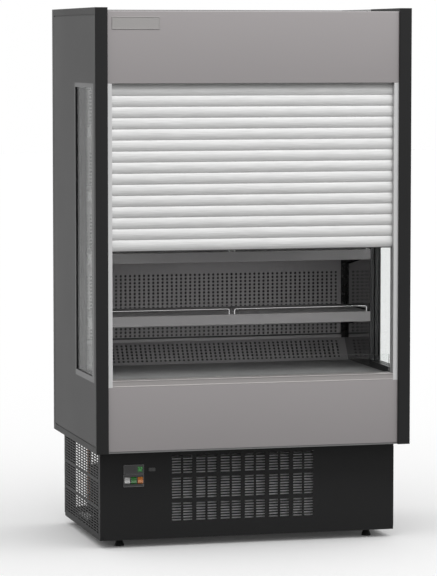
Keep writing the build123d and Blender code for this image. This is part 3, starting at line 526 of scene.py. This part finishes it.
print("profile tools ready; three places:", spaced(3, 0.5))

# %% [markdown]
# ## Finishes on the frame's own nodes
# Most nodes already have the right shape, so each only gets its material in its first slot. The table has
# a material and the nodes that wear it; three that new pieces need again have names. Colours are linear,
# and one number stands for a plain grey.

# %% Finishes
duct_grey = powder("duct_grey", (0.56, 0.545, 0.552), roughness=0.42, drift=0.08)
fin_metal = brushed("fin_stock", 0.95, metallic=0.0, roughness=0.45, stretch=(900.0, 900.0, 6.0))
copper = brushed("copper_tube", (0.72, 0.36, 0.22), metallic=0.95, roughness=0.3, contrast=0.3,
                 stretch=(70.0, 70.0, 70.0))
back_edge = span("back_panel", 0)[1] - 0.0015
worn_by = {
    lined_panel("end_panel_grey", 0.088, band_colour=0.05): ["left_end_panel", "right_end_panel"],
    edged_panel("back_panel_grey", 0.2, edge_colour=0.014, width=back_edge):
        ["back_panel", "roof_panel", "cabinet_floor", "front_wall"],
    powder("black_coat", (0.0105, 0.0105, 0.0107), roughness=0.5, drift=0.2, bump=0.2, gloss=0.16):
        ["base_frame", "base_front_panel", "left_base_grille", "right_base_grille"],
    powder("upright_black", 0.012, drift=0.15, gloss=0.2):
        ["shelf_uprights", "shelf_brackets", "foot_front_left", "foot_front_right", "foot_rear_left",
         "foot_rear_right"],
    duct_grey: ["ceiling_panel"],
    powder("deck_grey", 0.24, roughness=0.4, gloss=0.25): ["deck_pan", "return_air_grille"],
    powder("shelf_grey", (0.385, 0.375, 0.378), roughness=0.38):
        ["shelf_1", "shelf_2", "shelf_3", "shelf_4"],
    brushed("rail_metal", 0.56, metallic=0.3, roughness=0.36, stretch=(900.0, 900.0, 4.0)):
        ["guide_rails", "shutter_barrel"],
    brushed("zinc_sheet", (0.5, 0.5, 0.51), metallic=0.85, roughness=0.42, contrast=0.25,
            stretch=(60.0, 60.0, 60.0)):
        ["shutter_box", "barrel_brackets", "evaporator_fan_housing", "condenser_shroud", "water_tray"],
    fin_metal: ["evaporator_coil"],
    brushed("bright_plate", 0.75, metallic=0.95, roughness=0.16, contrast=0.05): ["shelf_fences"],
    copper: ["copper_pipes"],
    powder("pump_enamel", (0.018, 0.018, 0.02), roughness=0.28, bump=0.25, peel=500.0): ["compressor"],
    clear_glass: ["window_glass", "riser_glass"],
    moulded("window_band", (0.016, 0.016, 0.017)): ["window_frames"],
    moulded("trim_black", 0.02): ["controller", "switch_bezel", "socket_cover", "cable_gland"],
    moulded("vent_grey", 0.3, roughness=0.5): ["discharge_honeycomb"],
    moulded("opal_tube", (0.85, 0.86, 0.84), roughness=0.25): ["canopy_lamp"],
    moulded("seal_rubber", 0.014, roughness=0.7): ["shutter_seal"],
    moulded("cap_white", (0.5, 0.5, 0.49)): ["lamp_rocker"],
    moulded("cap_green", (0.02, 0.15, 0.02)): ["fan_rocker"],
    moulded("cap_orange", (0.5, 0.16, 0.022)): ["power_rocker"],
}
for material, names in worn_by.items():
    for name in names:
        nodes[name].data.materials.clear()
        nodes[name].data.materials.append(material)
print("finished nodes:", sum(len(names) for names in worn_by.values()))

# %% [markdown]
# ## Covers folded from sheet
# The grey header is one sheet, folded back over the top, with a narrow lip behind its lower edge. A folded
# edge is round and takes its own share of light. A box would have a hard edge there, so the outline of
# the fold, in depth and height, is carried across the front.

# %% Header cover
head_y, head_z = span("header_panel", 1), span("header_panel", 2)
sheet, fit, slot_play = 0.002, 0.0003, 0.0005
lip_rear = round(span("shutter_curtain", 1)[0] - slot_play, 4)
header_outline = rounded(
    [(head_y[0], head_z[0]), (head_y[0] + sheet, head_z[0]), (head_y[0] + sheet, head_z[1] - sheet),
     (head_y[1], head_z[1] - sheet), (head_y[1], head_z[1]), (head_y[0], head_z[1])],
    [0.0009, 0.0009, 0.0012, 0.0005, 0.0005, 0.0032])
lip = rectangle((head_y[0] + sheet, lip_rear), (head_z[0], head_z[0] + sheet), [0, 0.0005, 0.0005, 0])
header = joined([carried(header_outline, -inner, inner), carried(lip, -rail_inner + fit, rail_inner - fit)])
cover_grey = powder("cover_grey", (0.295, 0.278, 0.28), roughness=0.42, drift=0.05)
closed_piece("header_cover", header, cover_grey, replaces=["header_panel"])

# %% [markdown]
# The cover under the opening is the same sheet, flat. Only its two front bends show, so a rectangle with
# rounder corners in front is enough.

# %% Lower front cover
cover_outline = rectangle(span("lower_front_panel", 1), span("lower_front_panel", 2),
                          [0.0012, 0.0004, 0.0004, 0.0012])
closed_piece("lower_front_cover", carried(cover_outline, -inner, inner), cover_grey,
             replaces=["lower_front_panel"])

# %% [markdown]
# The posts are black extrusions with softened front corners. Their outline lies in the plan, and is
# carried up the whole height. The right one is the left one mirrored, which turns a shell inside out, so
# its faces are written the other way round.

# %% Front posts
post_plan = rectangle((span("front_posts", 0)[0], -inner), span("front_posts", 1),
                      [0.003, 0.002, 0.0003, 0.0003])
points, faces = carried(post_plan, *span("front_posts", 2), axis=2)
mirrored = points * np.array([-1.0, 1.0, 1.0])
posts = joined([(points, faces), (mirrored, [block[:, ::-1] for block in faces])])
post_black = powder("post_black", (0.014, 0.014, 0.0143), roughness=0.5, drift=0.15, bump=0.2, gloss=0.16)
closed_piece("post_covers", posts, post_black, replaces=["front_posts"])

# %% [markdown]
# The sill is an aluminium section: a flat face between two proud edges, which shine, and a groove on top
# that holds the riser glass. The real one is pressed through a die, and its outline, carried along, is
# made the same way.

# %% Sill section
sill_y, sill_z = span("sill", 1), span("sill", 2)
glass_y, glass_z = span("riser_glass", 1), span("riser_glass", 2)
step_in, edge = 0.0012, 0.0035
sill_outline = rounded(
    [(sill_y[0], sill_z[0]), (sill_y[1], sill_z[0]), (sill_y[1], sill_z[1]), (glass_y[1], sill_z[1]),
     (glass_y[1], glass_z[0]), (glass_y[0], glass_z[0]), (glass_y[0], sill_z[1]), (sill_y[0], sill_z[1]),
     (sill_y[0], sill_z[1] - edge), (sill_y[0] + step_in, sill_z[1] - edge - step_in),
     (sill_y[0] + step_in, sill_z[0] + edge + step_in), (sill_y[0], sill_z[0] + edge)],
    [0.0006, 0, 0.0006, 0.0004, 0, 0, 0.0004, 0.0015, 0.0006, 0.0003, 0.0003, 0.0006])
sill_metal = brushed("sill_metal", (0.3, 0.285, 0.28), metallic=0.3, roughness=0.38)
closed_piece("sill_section", carried(sill_outline, -rail_inner, rail_inner), sill_metal,
             replaces=["sill"])

# %% [markdown]
# The name plate and the frames round the controls have a raised and rounded rim. Each is a stack of rings:
# the same rounded rectangle, set in a little more and moved in depth from one ring to the next. The
# plate's first and last rings are closed with a face; a frame is open in the middle, and its last ring is
# joined back to its first.


# %% Raised rims
def ringed(x, z, radius, levels, hollow=False):
    """Ring k is the rectangle x by z, set in by levels[k][0], at the depth levels[k][1]."""
    rings = []
    for inset, depth in levels:
        outline = rectangle((x[0] + inset, x[1] - inset), (z[0] + inset, z[1] - inset),
                            [max(radius - inset, 0.0004)] * 4)
        rings.append(np.column_stack([outline[:, 0], np.full(len(outline), depth), outline[:, 1]]))
    caps = [] if hollow else [ring_caps(len(rings), len(outline))]
    return np.vstack(rings), [ring_quads(len(rings), len(outline), closed=hollow), *caps]


front, rear = span("name_plate", 1)
plate_levels = [(0, rear), (0, front + 0.0006), (0.0006, front), (0.003, front), (0.0038, front + 0.001)]
plate = ringed(span("name_plate", 0), span("name_plate", 2), 0.002, plate_levels)
plate_grey = brushed("plate_grey", (0.3, 0.29, 0.285), metallic=0.2, roughness=0.35, contrast=0.15)
closed_piece("plate_with_rim", plate, plate_grey, replaces=["name_plate"])

# %% Frames round the controller and the switches
rim_grey = moulded("rim_grey", (0.15, 0.15, 0.152), roughness=0.4)
for label, node in (("switch_rim", "switch_bezel"), ("controller_rim", "controller")):
    face_y = span(node, 1)[0]
    root, crown = face_y + 0.001, face_y - 0.0005
    rim_levels = [(0, root), (0.0006, crown), (0.0016, crown), (0.0022, root)]
    rim = ringed(span(node, 0), span(node, 2), 0.003, rim_levels, hollow=True)
    closed_piece(label, rim, rim_grey)

# %% [markdown]
# ## Rolled slats
# A slat is rolled from strip into a shallow bow, with a hook along its top that the next slat hangs on.
# Each bow is bright above and grey below, because its face turns from the light. A bump would shade a
# flat sheet in the same way, but its edge against the rails would stay straight. The bow is a parabola:
# its depth grows with the square of the distance from the middle.


# %% Slat curtain
SLAT_PITCH = 0.0404
slat_metal = brushed("slat_metal", (0.64, 0.64, 0.637), metallic=0.0, roughness=0.4, contrast=0.5,
                     stretch=(12.0, 400.0, 400.0), gloss=0.2)


def slat_outline(crest, foot, bow=0.005, wall=0.0012, hook=0.004, gap=0.0003):
    """Outline in depth and height: depth = crest + bow * t^2, with t from -1 at the foot to 1."""
    t = np.linspace(-1, 1, 19)
    head = foot + SLAT_PITCH - gap
    height = foot + (t + 1) / 2 * (head - foot)
    front = np.stack([crest + bow * t ** 2, height], axis=1)
    back_height = np.clip(height, foot, head - wall)[::-1]
    back = np.stack([crest + wall + bow * t[::-1] ** 2, back_height], axis=1)
    catch_front = crest + bow + wall + gap
    catch_rear = catch_front + wall
    catch = np.array([(catch_front, head), (catch_front, head + hook), (catch_rear, head + hook),
                      (catch_rear, head - wall)])
    return np.vstack([front, catch, back])


def curtain(name, node, count, body):
    """Count slats one above another, from the node's lowest edge up, over the node's width."""
    low, high = span(node, 0)
    crest, foot = span(node, 1)[0], span(node, 2)[0]
    slats = [carried(slat_outline(crest, foot + number * SLAT_PITCH), low, high) for number in range(count)]
    closed_piece(name, joined(slats), slat_metal, body=body, replaces=[node])


curtain("front_slats", "shutter_curtain", 16, "shutter")
curtain("tail_slats", "upper_curtain", 11, "shutter_tail")

# %% [markdown]
# ## Perforated duct sheets
# Cold air seeps out of the back through thousands of small holes in groups of rows. A shader could fake
# them, but real holes catch light on their rims, and a Boolean with thousands of cutters is slow. So the
# sheet is a lattice of cells: a cell with a hole joins its eight border points to eight points round the
# hole, and a blank cell is one face.


# %% Perforated sheet
def cell_lines(low, high, centres, pitch):
    """Borders half a pitch each side of every centre, both ends, and the middle of each cell between."""
    borders = np.concatenate([[low, high], centres - pitch / 2, centres + pitch / 2])
    borders = np.unique(np.round(borders, 6))
    borders = borders[(borders >= low) & (borders <= high)]
    return np.sort(np.concatenate([borders, (borders[1:] + borders[:-1]) / 2]))


def perforated(low, high, columns, rows, pitch, radius, wall):
    """Closed sheet in its own (s, t, depth): hole points are centre + radius * unit direction.

    Lattice points lie on every border and middle line. A cell's ring is the eight of them round its middle.
    """
    s_line = cell_lines(low[0], high[0], columns, pitch[0])
    t_line = cell_lines(low[1], high[1], rows, pitch[1])
    wide, tall = len(s_line), len(t_line)
    lattice = np.stack(np.meshgrid(s_line, t_line, indexing="ij"), axis=-1).reshape(-1, 2)
    cells = np.meshgrid(np.arange(wide // 2), np.arange(tall // 2), indexing="ij")
    cell_s, cell_t = [grid.ravel() for grid in cells]
    turn = np.array([(0, 0), (1, 0), (2, 0), (2, 1), (2, 2), (1, 2), (0, 2), (0, 1)])
    ring = (2 * cell_s[:, None] + turn[None, :, 0]) * tall + 2 * cell_t[:, None] + turn[None, :, 1]
    middle = np.stack([s_line[2 * cell_s + 1], t_line[2 * cell_t + 1]], axis=1)
    open_s = np.abs(middle[:, :1] - columns[None, :]).min(axis=1) < pitch[0] / 8
    open_t = np.abs(middle[:, 1:] - rows[None, :]).min(axis=1) < pitch[1] / 8
    holed = open_s & open_t
    way = (turn - 1) / np.linalg.norm(turn - 1, axis=1, keepdims=True)
    holes = (middle[holed][:, None, :] + radius * way[None]).reshape(-1, 2)
    flat = np.vstack([lattice, holes])
    layer = len(flat)
    hole = layer - len(holes) + np.arange(len(holes)).reshape(-1, 8)
    hole_next, ring_holed, blank = np.roll(hole, -1, axis=1), ring[holed], ring[~holed]
    fronts = np.stack([ring_holed, np.roll(ring_holed, -1, axis=1), hole_next, hole], axis=-1)
    fronts = fronts.reshape(-1, 4)
    walls = np.stack([hole, hole_next, hole_next + layer, hole + layer], axis=-1).reshape(-1, 4)
    faces = [fronts, fronts[:, ::-1] + layer, walls, grid_rim(wide, tall, layer), blank,
             blank[:, ::-1] + layer]
    points = np.vstack([np.column_stack([flat, np.full(layer, depth)]) for depth in (0.0, wall)])
    used = np.unique(np.concatenate([block.ravel() for block in faces]))
    number = np.full(len(points), -1)
    number[used] = np.arange(len(used))
    return points[used], [number[block] for block in faces]


def duct_sheet(name, node, low, high, rows, row_pitch, radius, wall, origin, up, through, material):
    """A perforated sheet laid in place: point = origin + (s, 0, 0) + t * up + depth * through."""
    points, faces = perforated(low, high, columns, rows, (column_pitch, row_pitch), radius, wall)
    points = np.asarray(origin) + points @ np.array([(1, 0, 0), up, through], float)
    closed_piece(name, (points, faces), material, replaces=[node], sharp=30.0)


column_pitch = 0.0185
columns = spaced(57, column_pitch)
print("columns of holes:", len(columns))

# %% [markdown]
# The back sheet has a group of six rows at its foot, and ten rows above each shelf. Its lower edge is
# folded forward into a hem, which shows as a light line over the slanted sheet.

# %% Rear duct panel
duct_y, duct_z = span("rear_duct_panel", 1), span("rear_duct_panel", 2)
row_pitch, foot_group = 0.0139, 0.7273
groups = [(foot_group, 6)] + [(span(f"shelf_{number}", 2)[1], 10) for number in (1, 2, 3, 4)]
rows = np.concatenate([start + np.arange(count) * row_pitch for start, count in groups])
duct_sheet("perforated_back", "rear_duct_panel", (-inner, duct_z[0]), (inner, duct_z[1]), rows, row_pitch,
           0.005, sheet, (0, duct_y[1] - sheet, 0), (0, 0, 1), (0, 1, 0), duct_grey)
hem_height, hem_inset = 0.012, 0.015
hem = rectangle((duct_y[0], duct_y[1] - sheet), (duct_z[0], duct_z[0] + hem_height), [0.0015, 0, 0, 0.0025])
closed_piece("back_hem", carried(hem, -inner + hem_inset, inner - hem_inset), duct_grey)

# %% [markdown]
# Under it a second sheet slants down to the deck. Its holes are worked out flat, in the sheet's own two
# directions, and the whole sheet is then laid on the slope: easier than tilting every hole.

# %% Lower duct panel
foot_y, foot_z = span("lower_duct_panel", 1), span("lower_duct_panel", 2)
foot_flange, foot_sheet = 0.015, 0.0015
top_edge = np.array([foot_y[1] - sheet, foot_z[1]])
low_edge = np.array([foot_y[0], foot_z[0] + foot_flange])
length = float(np.linalg.norm(top_edge - low_edge))
slant_y, slant_z = (top_edge - low_edge) / length
foot_pitch = 0.0135
# The slanted sheet wears the back sheet's grey painted darker: painted shade for the dim foot of the
# cabinet, where little light reaches.
duct_foot_painted_shade = powder("duct_foot_painted_shade", (0.36, 0.35, 0.356), drift=0.08)
duct_sheet("perforated_foot", "lower_duct_panel", (-inner, 0.0), (inner, length),
           spaced(6, foot_pitch) + length / 2, foot_pitch, 0.0048, foot_sheet, (0, *low_edge),
           (0, slant_y, slant_z), (0, slant_z, -slant_y), duct_foot_painted_shade)
print("slanted length:", round(length, 4))

# %% [markdown]
# ## Condenser
# Behind the front grille stands the condenser: thin fins pressed on copper tubes. Its bright edges are
# what shows through the slots. A striped material would be flat there; some three hundred plates cost
# little, since each is only a box.

# %% Condenser fins
fin_y, fin_z = span("condenser_coil", 1), span("condenser_coil", 2)
pack_x = span("condenser_shroud", 0)
fin_count, fin_wall = 290, 0.001
fin_centres = np.full((fin_count, 3), (0, sum(fin_y) / 2, sum(fin_z) / 2))
fin_centres[:, 0] = np.linspace(pack_x[0] + fin_wall, pack_x[1] - fin_wall, fin_count)
fins = blocks(fin_centres, (fin_wall, fin_y[1] - fin_y[0], fin_z[1] - fin_z[0]))
closed_piece("condenser_fins", fins, fin_metal, replaces=["condenser_coil"])

# %% [markdown]
# The tube runs to and fro through the fins, with a half circle between two runs. A curve with a bevel
# would do; a ring of points carried along the path is a closed mesh straight away, with capped ends.


# %% Tube along a path
def swept_tube(path, radius, sides=12):
    """Ring point = path point + radius * (cos a * depth + sin a * up), where up = run x depth."""
    path = np.asarray(path, float)
    run = np.gradient(path, axis=0)
    run /= np.linalg.norm(run, axis=1, keepdims=True)
    depth = np.array([0.0, 1.0, 0.0])
    up = np.cross(run, depth)
    angle = np.linspace(0, 2 * np.pi, sides, endpoint=False)
    ring = np.cos(angle)[None, :, None] * depth + np.sin(angle)[None, :, None] * up[:, None, :]
    points = (path[:, None, :] + radius * ring).reshape(-1, 3)
    return points, [ring_quads(len(path), sides), ring_caps(len(path), sides)]


def serpentine(ends, depth, heights):
    """One tube that runs to and fro between the ends, with a run at each of the heights.

    The bend after run k is a half circle whose diameter is the pitch, at the right end for even k.
    """
    turn = np.linspace(-np.pi / 2, np.pi / 2, 11)
    bend = (heights[1] - heights[0]) / 2
    path = [(ends[0], depth, heights[0])]
    for level, height in enumerate((heights[1:] + heights[:-1]) / 2):
        side = -1 if level % 2 else 1
        x = ends[0 if level % 2 else 1] + side * bend * np.cos(turn)
        path.extend(np.stack([x, np.full_like(x, depth), height + bend * np.sin(turn)], axis=1))
    path.append((ends[0], depth, heights[-1]))
    return np.array(path)


run_heights = sum(fin_z) / 2 + spaced(6, 0.042)
print("runs of tube at:", np.round(run_heights, 3))

# %% Condenser tubes
row_offset = (fin_y[1] - fin_y[0]) / 4
tubes = [swept_tube(serpentine(pack_x, depth, run_heights), radius=0.005)
         for depth in sum(fin_y) / 2 + np.array([-row_offset, row_offset])]
closed_piece("condenser_tubes", joined(tubes), copper)

# %% [markdown]
# ## Fans
# A moulded fan has cambered blades: each is a surface over radius and chord, whose angle grows with the
# chord and whose depth falls along it, with a bow between its two edges. Twisting a flat plate with a
# modifier would give no camber. Each surface gets its thickness by a second copy of the grid behind the
# first. The hub is a profile turned about its axis.


# %% Fan shapes
def thick_sheet(front, rear):
    """Closed shell between two grids of the same shape (tall, wide, 3), joined round their border."""
    tall, wide = front.shape[:2]
    layer = tall * wide
    points = np.vstack([front.reshape(-1, 3), rear.reshape(-1, 3)])
    index = np.arange(layer).reshape(tall, wide)
    quads = np.stack([index[:-1, :-1], index[1:, :-1], index[1:, 1:], index[:-1, 1:]], axis=-1)
    quads = quads.reshape(-1, 4)
    return points, [quads, quads[:, ::-1] + layer, grid_rim(tall, wide, layer)]


def turned(profile, centre, sides=40):
    """Point = centre + (radius cos a, depth, radius sin a); the profile's two ends are poles."""
    profile = np.asarray(profile, float)
    angle = np.linspace(0, 2 * np.pi, sides, endpoint=False)
    depth, radius = profile[1:-1, :1], profile[1:-1, 1:]
    depths = np.repeat(depth, sides, axis=1)
    ring = np.stack([radius * np.cos(angle), depths, radius * np.sin(angle)], axis=-1)
    poles = [(0, profile[0, 0], 0), (0, profile[-1, 0], 0)]
    points = np.vstack([ring.reshape(-1, 3), poles]) + np.asarray(centre, float)
    here, there = np.arange(sides), (np.arange(sides) + 1) % sides
    first_pole = len(depth) * sides
    last_ring = first_pole - sides
    front = np.stack([np.full(sides, first_pole), there, here], axis=1)
    rear = np.stack([np.full(sides, first_pole + 1), last_ring + here, last_ring + there], axis=1)
    return points, [ring_quads(len(depth), sides), front, rear]


def blade(centre, start, root, tip, rise, wall=0.0018):
    """Surface over reach 0..1 from root to tip and chord t 0..1, with u = 2t - 1 from edge to edge.

    Radius = root + (tip - root) * reach - trim * tip * reach^4 * u^4, which rounds the tip's corners.
    Angle = start + sweep * reach + (t - 1/2) * (chord - taper * reach).
    Depth = rise * ((1/2 - t) * (1 - flattening * reach) + camber * (1 - u^2)).
    Thickness = wall * (1 - thinning * u^4).
    """
    trim, sweep, chord, taper, flattening, camber, thinning = 0.06, 0.35, 1.05, 0.2, 0.35, 0.12, 0.7
    reach, t = np.linspace(0, 1, 9)[:, None], np.linspace(0, 1, 13)[None, :]
    u = 2 * t - 1
    radius = root + (tip - root) * reach - trim * tip * reach ** 4 * u ** 4
    angle = start + sweep * reach + (t - 0.5) * (chord - taper * reach)
    depth = rise * (0.5 - t) * (1 - flattening * reach) + camber * rise * (1 - u ** 2)
    middle = np.stack([radius * np.cos(angle), depth, radius * np.sin(angle)], axis=-1) + np.asarray(centre)
    half = np.broadcast_to(wall / 2 * (1 - thinning * u ** 4), radius.shape)
    offset = half[:, :, None] * np.array([0.0, 1.0, 0.0])
    return thick_sheet(middle - offset, middle + offset)


print("fan shapes ready: turned, blade")

# %% [markdown]
# Each fan replaces its plain node and rides on the same turning body, so its hub stays on the joint's
# axis. The hub narrows to a nose in front, and a shaft behind it reaches into the motor. The blades start
# a little inside the hub, so that no gap shows at their roots.


# %% Fans
def fan(name, node, joint, body, hub_radius, hub_length, tip, rise, blades=5, shaft=0.004, bite=0.002):
    """Hub, shaft and blades about a joint's axis, from the node's front face to its rear end."""
    x, _, z = next(row["pos_m"] for row in frame["joints"] if row["name"] == joint)
    front, rear = span(node, 1)
    half, nose_length, nose_radius = hub_length / 2, 0.15 * hub_length, 0.7 * hub_radius
    centre = (x, front + half, z)
    back_end = rear - centre[1]
    profile = [(-half, 0), (-half, nose_radius), (nose_length - half, hub_radius), (half, hub_radius),
               (half, shaft), (back_end, shaft), (back_end, 0)]
    turns = np.arange(blades) * 2 * np.pi / blades
    vanes = [blade(centre, start, hub_radius - bite, tip, rise) for start in turns]
    rotor = joined([turned(profile, centre), *vanes])
    closed_piece(name, rotor, fan_black, body=body, replaces=[node])


fan_black = moulded("fan_black", 0.018, roughness=0.5)
for side in ("left", "right"):
    fan(f"{side}_fan_rotor", f"evaporator_fan_{side}", f"{side}_duct_fan_spin", f"{side}_duct_fan",
        hub_radius=0.022, hub_length=0.024, tip=0.0745, rise=0.018)
fan("cooling_fan_rotor", "condenser_fan", "cooling_fan_spin", "cooling_fan",
    hub_radius=0.031, hub_length=0.028, tip=0.119, rise=0.022)

# %% [markdown]
# ## Small signs of life
# The controller shows the air temperature in green segments behind a dark window. Each digit is seven
# bars, and a table says which of them are lit. The bars glow a little, as the real ones do.

# %% Controller display
LIT = {"3": "abgcd", "2": "abged"}
BARS = {"a": (0, 0.5, 1), "b": (0.5, 0.25, 0), "c": (0.5, -0.25, 0), "d": (0, -0.5, 1),
        "e": (-0.5, -0.25, 0), "f": (-0.5, 0.25, 0), "g": (0, 0, 1)}
digit_width, digit_height, digit_pitch, bar, bar_depth = 0.0062, 0.0125, 0.009, 0.0015, 0.0003
window_size, window_edge = (0.0239, 0.0004, 0.0249), 0.015
window_depth, digit_depth = 0.0008, 0.00045


def digit_bars(character, x, y, z):
    """Lit bars: centre = (x, z) + shares of width and height; the third number is 1 for a flat bar."""
    lit = np.array([BARS[key] for key in LIT[character]], float)
    flat = lit[:, 2] > 0
    centres = np.column_stack([x + lit[:, 0] * digit_width, np.full(len(lit), y),
                               z + lit[:, 1] * digit_height])
    sizes = np.column_stack([np.where(flat, digit_width - bar, bar), np.full(len(lit), bar_depth),
                             np.where(flat, bar, digit_height / 2 - bar)])
    return blocks(centres, sizes)


control_x, control_y = span("controller", 0)[1] - window_edge, span("controller", 1)[0]
control_z = sum(span("controller", 2)) / 2
display_glass = moulded("display_window", (0.012, 0.05, 0.014), roughness=0.2, glow=0.12)
window = blocks((control_x, control_y + window_depth, control_z), window_size)
closed_piece("display_window", window, display_glass)
display_green = moulded("display_segments", (0.03, 0.42, 0.05), roughness=0.3, glow=0.35)
digits = [digit_bars(character, control_x + offset, control_y + digit_depth, control_z)
          for character, offset in zip("32", spaced(2, digit_pitch))]
closed_piece("display_digits", joined(digits), display_green)

# %% [markdown]
# ## Studio
# The photograph shows the cabinet cut out on white, with a soft shadow on the floor. The camera sees a
# white world, and so do gloss and glass; everything else is lit by a gentle gradient that is brightest
# overhead and a little brighter in front. The floor is matt white to the camera, so it is white where it
# sees the whole sky and grey where the cabinet hides half of it. Light that bounces from it meets a
# darker grey, as if the studio floor were small: otherwise the slats would lose their shading.


# %% World
SKY_SLOPE, SKY_LEVEL, SKY_LEAST = (0.12, -0.45, 1.1), 0.27, 0.05


def make_world():
    """Light = level + slope . direction for diffuse rays; white for camera, glossy and transmitted rays."""
    world = bpy.data.worlds.new("soft_studio")
    world.use_nodes = True
    tree = world.node_tree
    background = tree.nodes["Background"]
    direction = add(tree, "ShaderNodeTexCoord").outputs["Generated"]
    slope = add(tree, "ShaderNodeVectorMath", {0: direction, 1: SKY_SLOPE}, operation="DOT_PRODUCT")
    level = maths(tree, "ADD", slope.outputs["Value"], SKY_LEVEL)
    level = maths(tree, "MAXIMUM", level, SKY_LEAST)
    path = add(tree, "ShaderNodeLightPath").outputs
    seen = maths(tree, "MAXIMUM", path["Is Camera Ray"], path["Is Transmission Ray"])
    seen = maths(tree, "MAXIMUM", seen, path["Is Glossy Ray"])
    background.inputs["Color"].default_value = opaque(1.0)
    wire(tree, mixed_number(tree, seen, level, 1.0), background.inputs["Strength"])
    return world


bpy.context.scene.world = make_world()
print("world:", bpy.context.scene.world.name)

# %% Floor
FLOOR_SEEN, FLOOR_BOUNCE, FLOOR_GLOW = 0.97, 0.14, 0.03
FLOOR_HALF = 40


def make_floor_material():
    """Matt: near white, but grey to diffuse rays, plus a faint glow for camera rays."""
    material, tree, principled = shell("studio_floor", {"Roughness": 1.0, "Specular IOR Level": 0.0,
                                                        "Emission Color": opaque(1.0)})
    path = add(tree, "ShaderNodeLightPath").outputs
    wire(tree, mixed_colour(tree, path["Is Diffuse Ray"], opaque(FLOOR_SEEN), opaque(FLOOR_BOUNCE)),
         principled.inputs["Base Color"])
    glow = maths(tree, "MULTIPLY", path["Is Camera Ray"], FLOOR_GLOW)
    wire(tree, glow, principled.inputs["Emission Strength"])
    return material


floor_mesh = bpy.data.meshes.new("studio_floor")
floor_corners = [(x * FLOOR_HALF, y * FLOOR_HALF, 0) for x, y in ((-1, -1), (1, -1), (1, 1), (-1, 1))]
floor_mesh.from_pydata(floor_corners, [], [(0, 1, 2, 3)])
floor_mesh.materials.append(make_floor_material())
floor = bpy.data.objects.new("studio_floor", floor_mesh)
bpy.context.scene.collection.objects.link(floor)
print("floor placed")

# %% [markdown]
# One large round lamp stands in front, above and to the right. It models the slats and the folded edges.
# Light linking keeps it off the floor, whose soft shadow comes from the sky alone, as in the photograph.
# A lamp shines along its own -Z, so it is tilted and turned until that axis points at the cabinet.

# %% Key light
key_data = bpy.data.lights.new("key_light", "AREA")
key_data.shape = "DISK"
key_data.size = 2.4
key_data.energy = 240.0
key = bpy.data.objects.new("key_light", key_data)
key.location = (1.1, -3.46, 6.1)
key_target = (0.0, -0.38, 1.1)
aim = np.array(key_target) - np.array(key.location)
key.rotation_euler = (math.acos(-aim[2] / np.linalg.norm(aim)), 0.0, math.atan2(-aim[0], aim[1]))
bpy.context.scene.collection.objects.link(key)
skipped = bpy.data.collections.new("key_light_skips")
skipped.objects.link(floor)
key.light_linking.receiver_collection = skipped
skipped.collection_objects[0].light_linking.link_state = "EXCLUDE"
print("key light:", key_data.energy, "W")

# %% [markdown]
# ## Camera
# The picture was taken from far away with a long lens, a little left of the middle and at eye height, so
# uprights stay nearly parallel. The numbers come from fitting the cabinet's corners to the picture.

# %% Camera
camera_data = bpy.data.cameras.new("camera")
camera_data.sensor_fit = "HORIZONTAL"
camera_data.sensor_width = 36.0
camera_data.lens = 246.95
camera = bpy.data.objects.new("camera", camera_data)
camera.location = (-2.9065, -10.9930, 1.8522)
tilt, heading = 85.375, -14.619
camera.rotation_euler = (math.radians(tilt), 0.0, math.radians(heading))
bpy.context.scene.collection.objects.link(camera)
bpy.context.scene.camera = camera
bpy.context.scene.view_settings.view_transform = "Standard"
print("camera lens:", camera_data.lens)
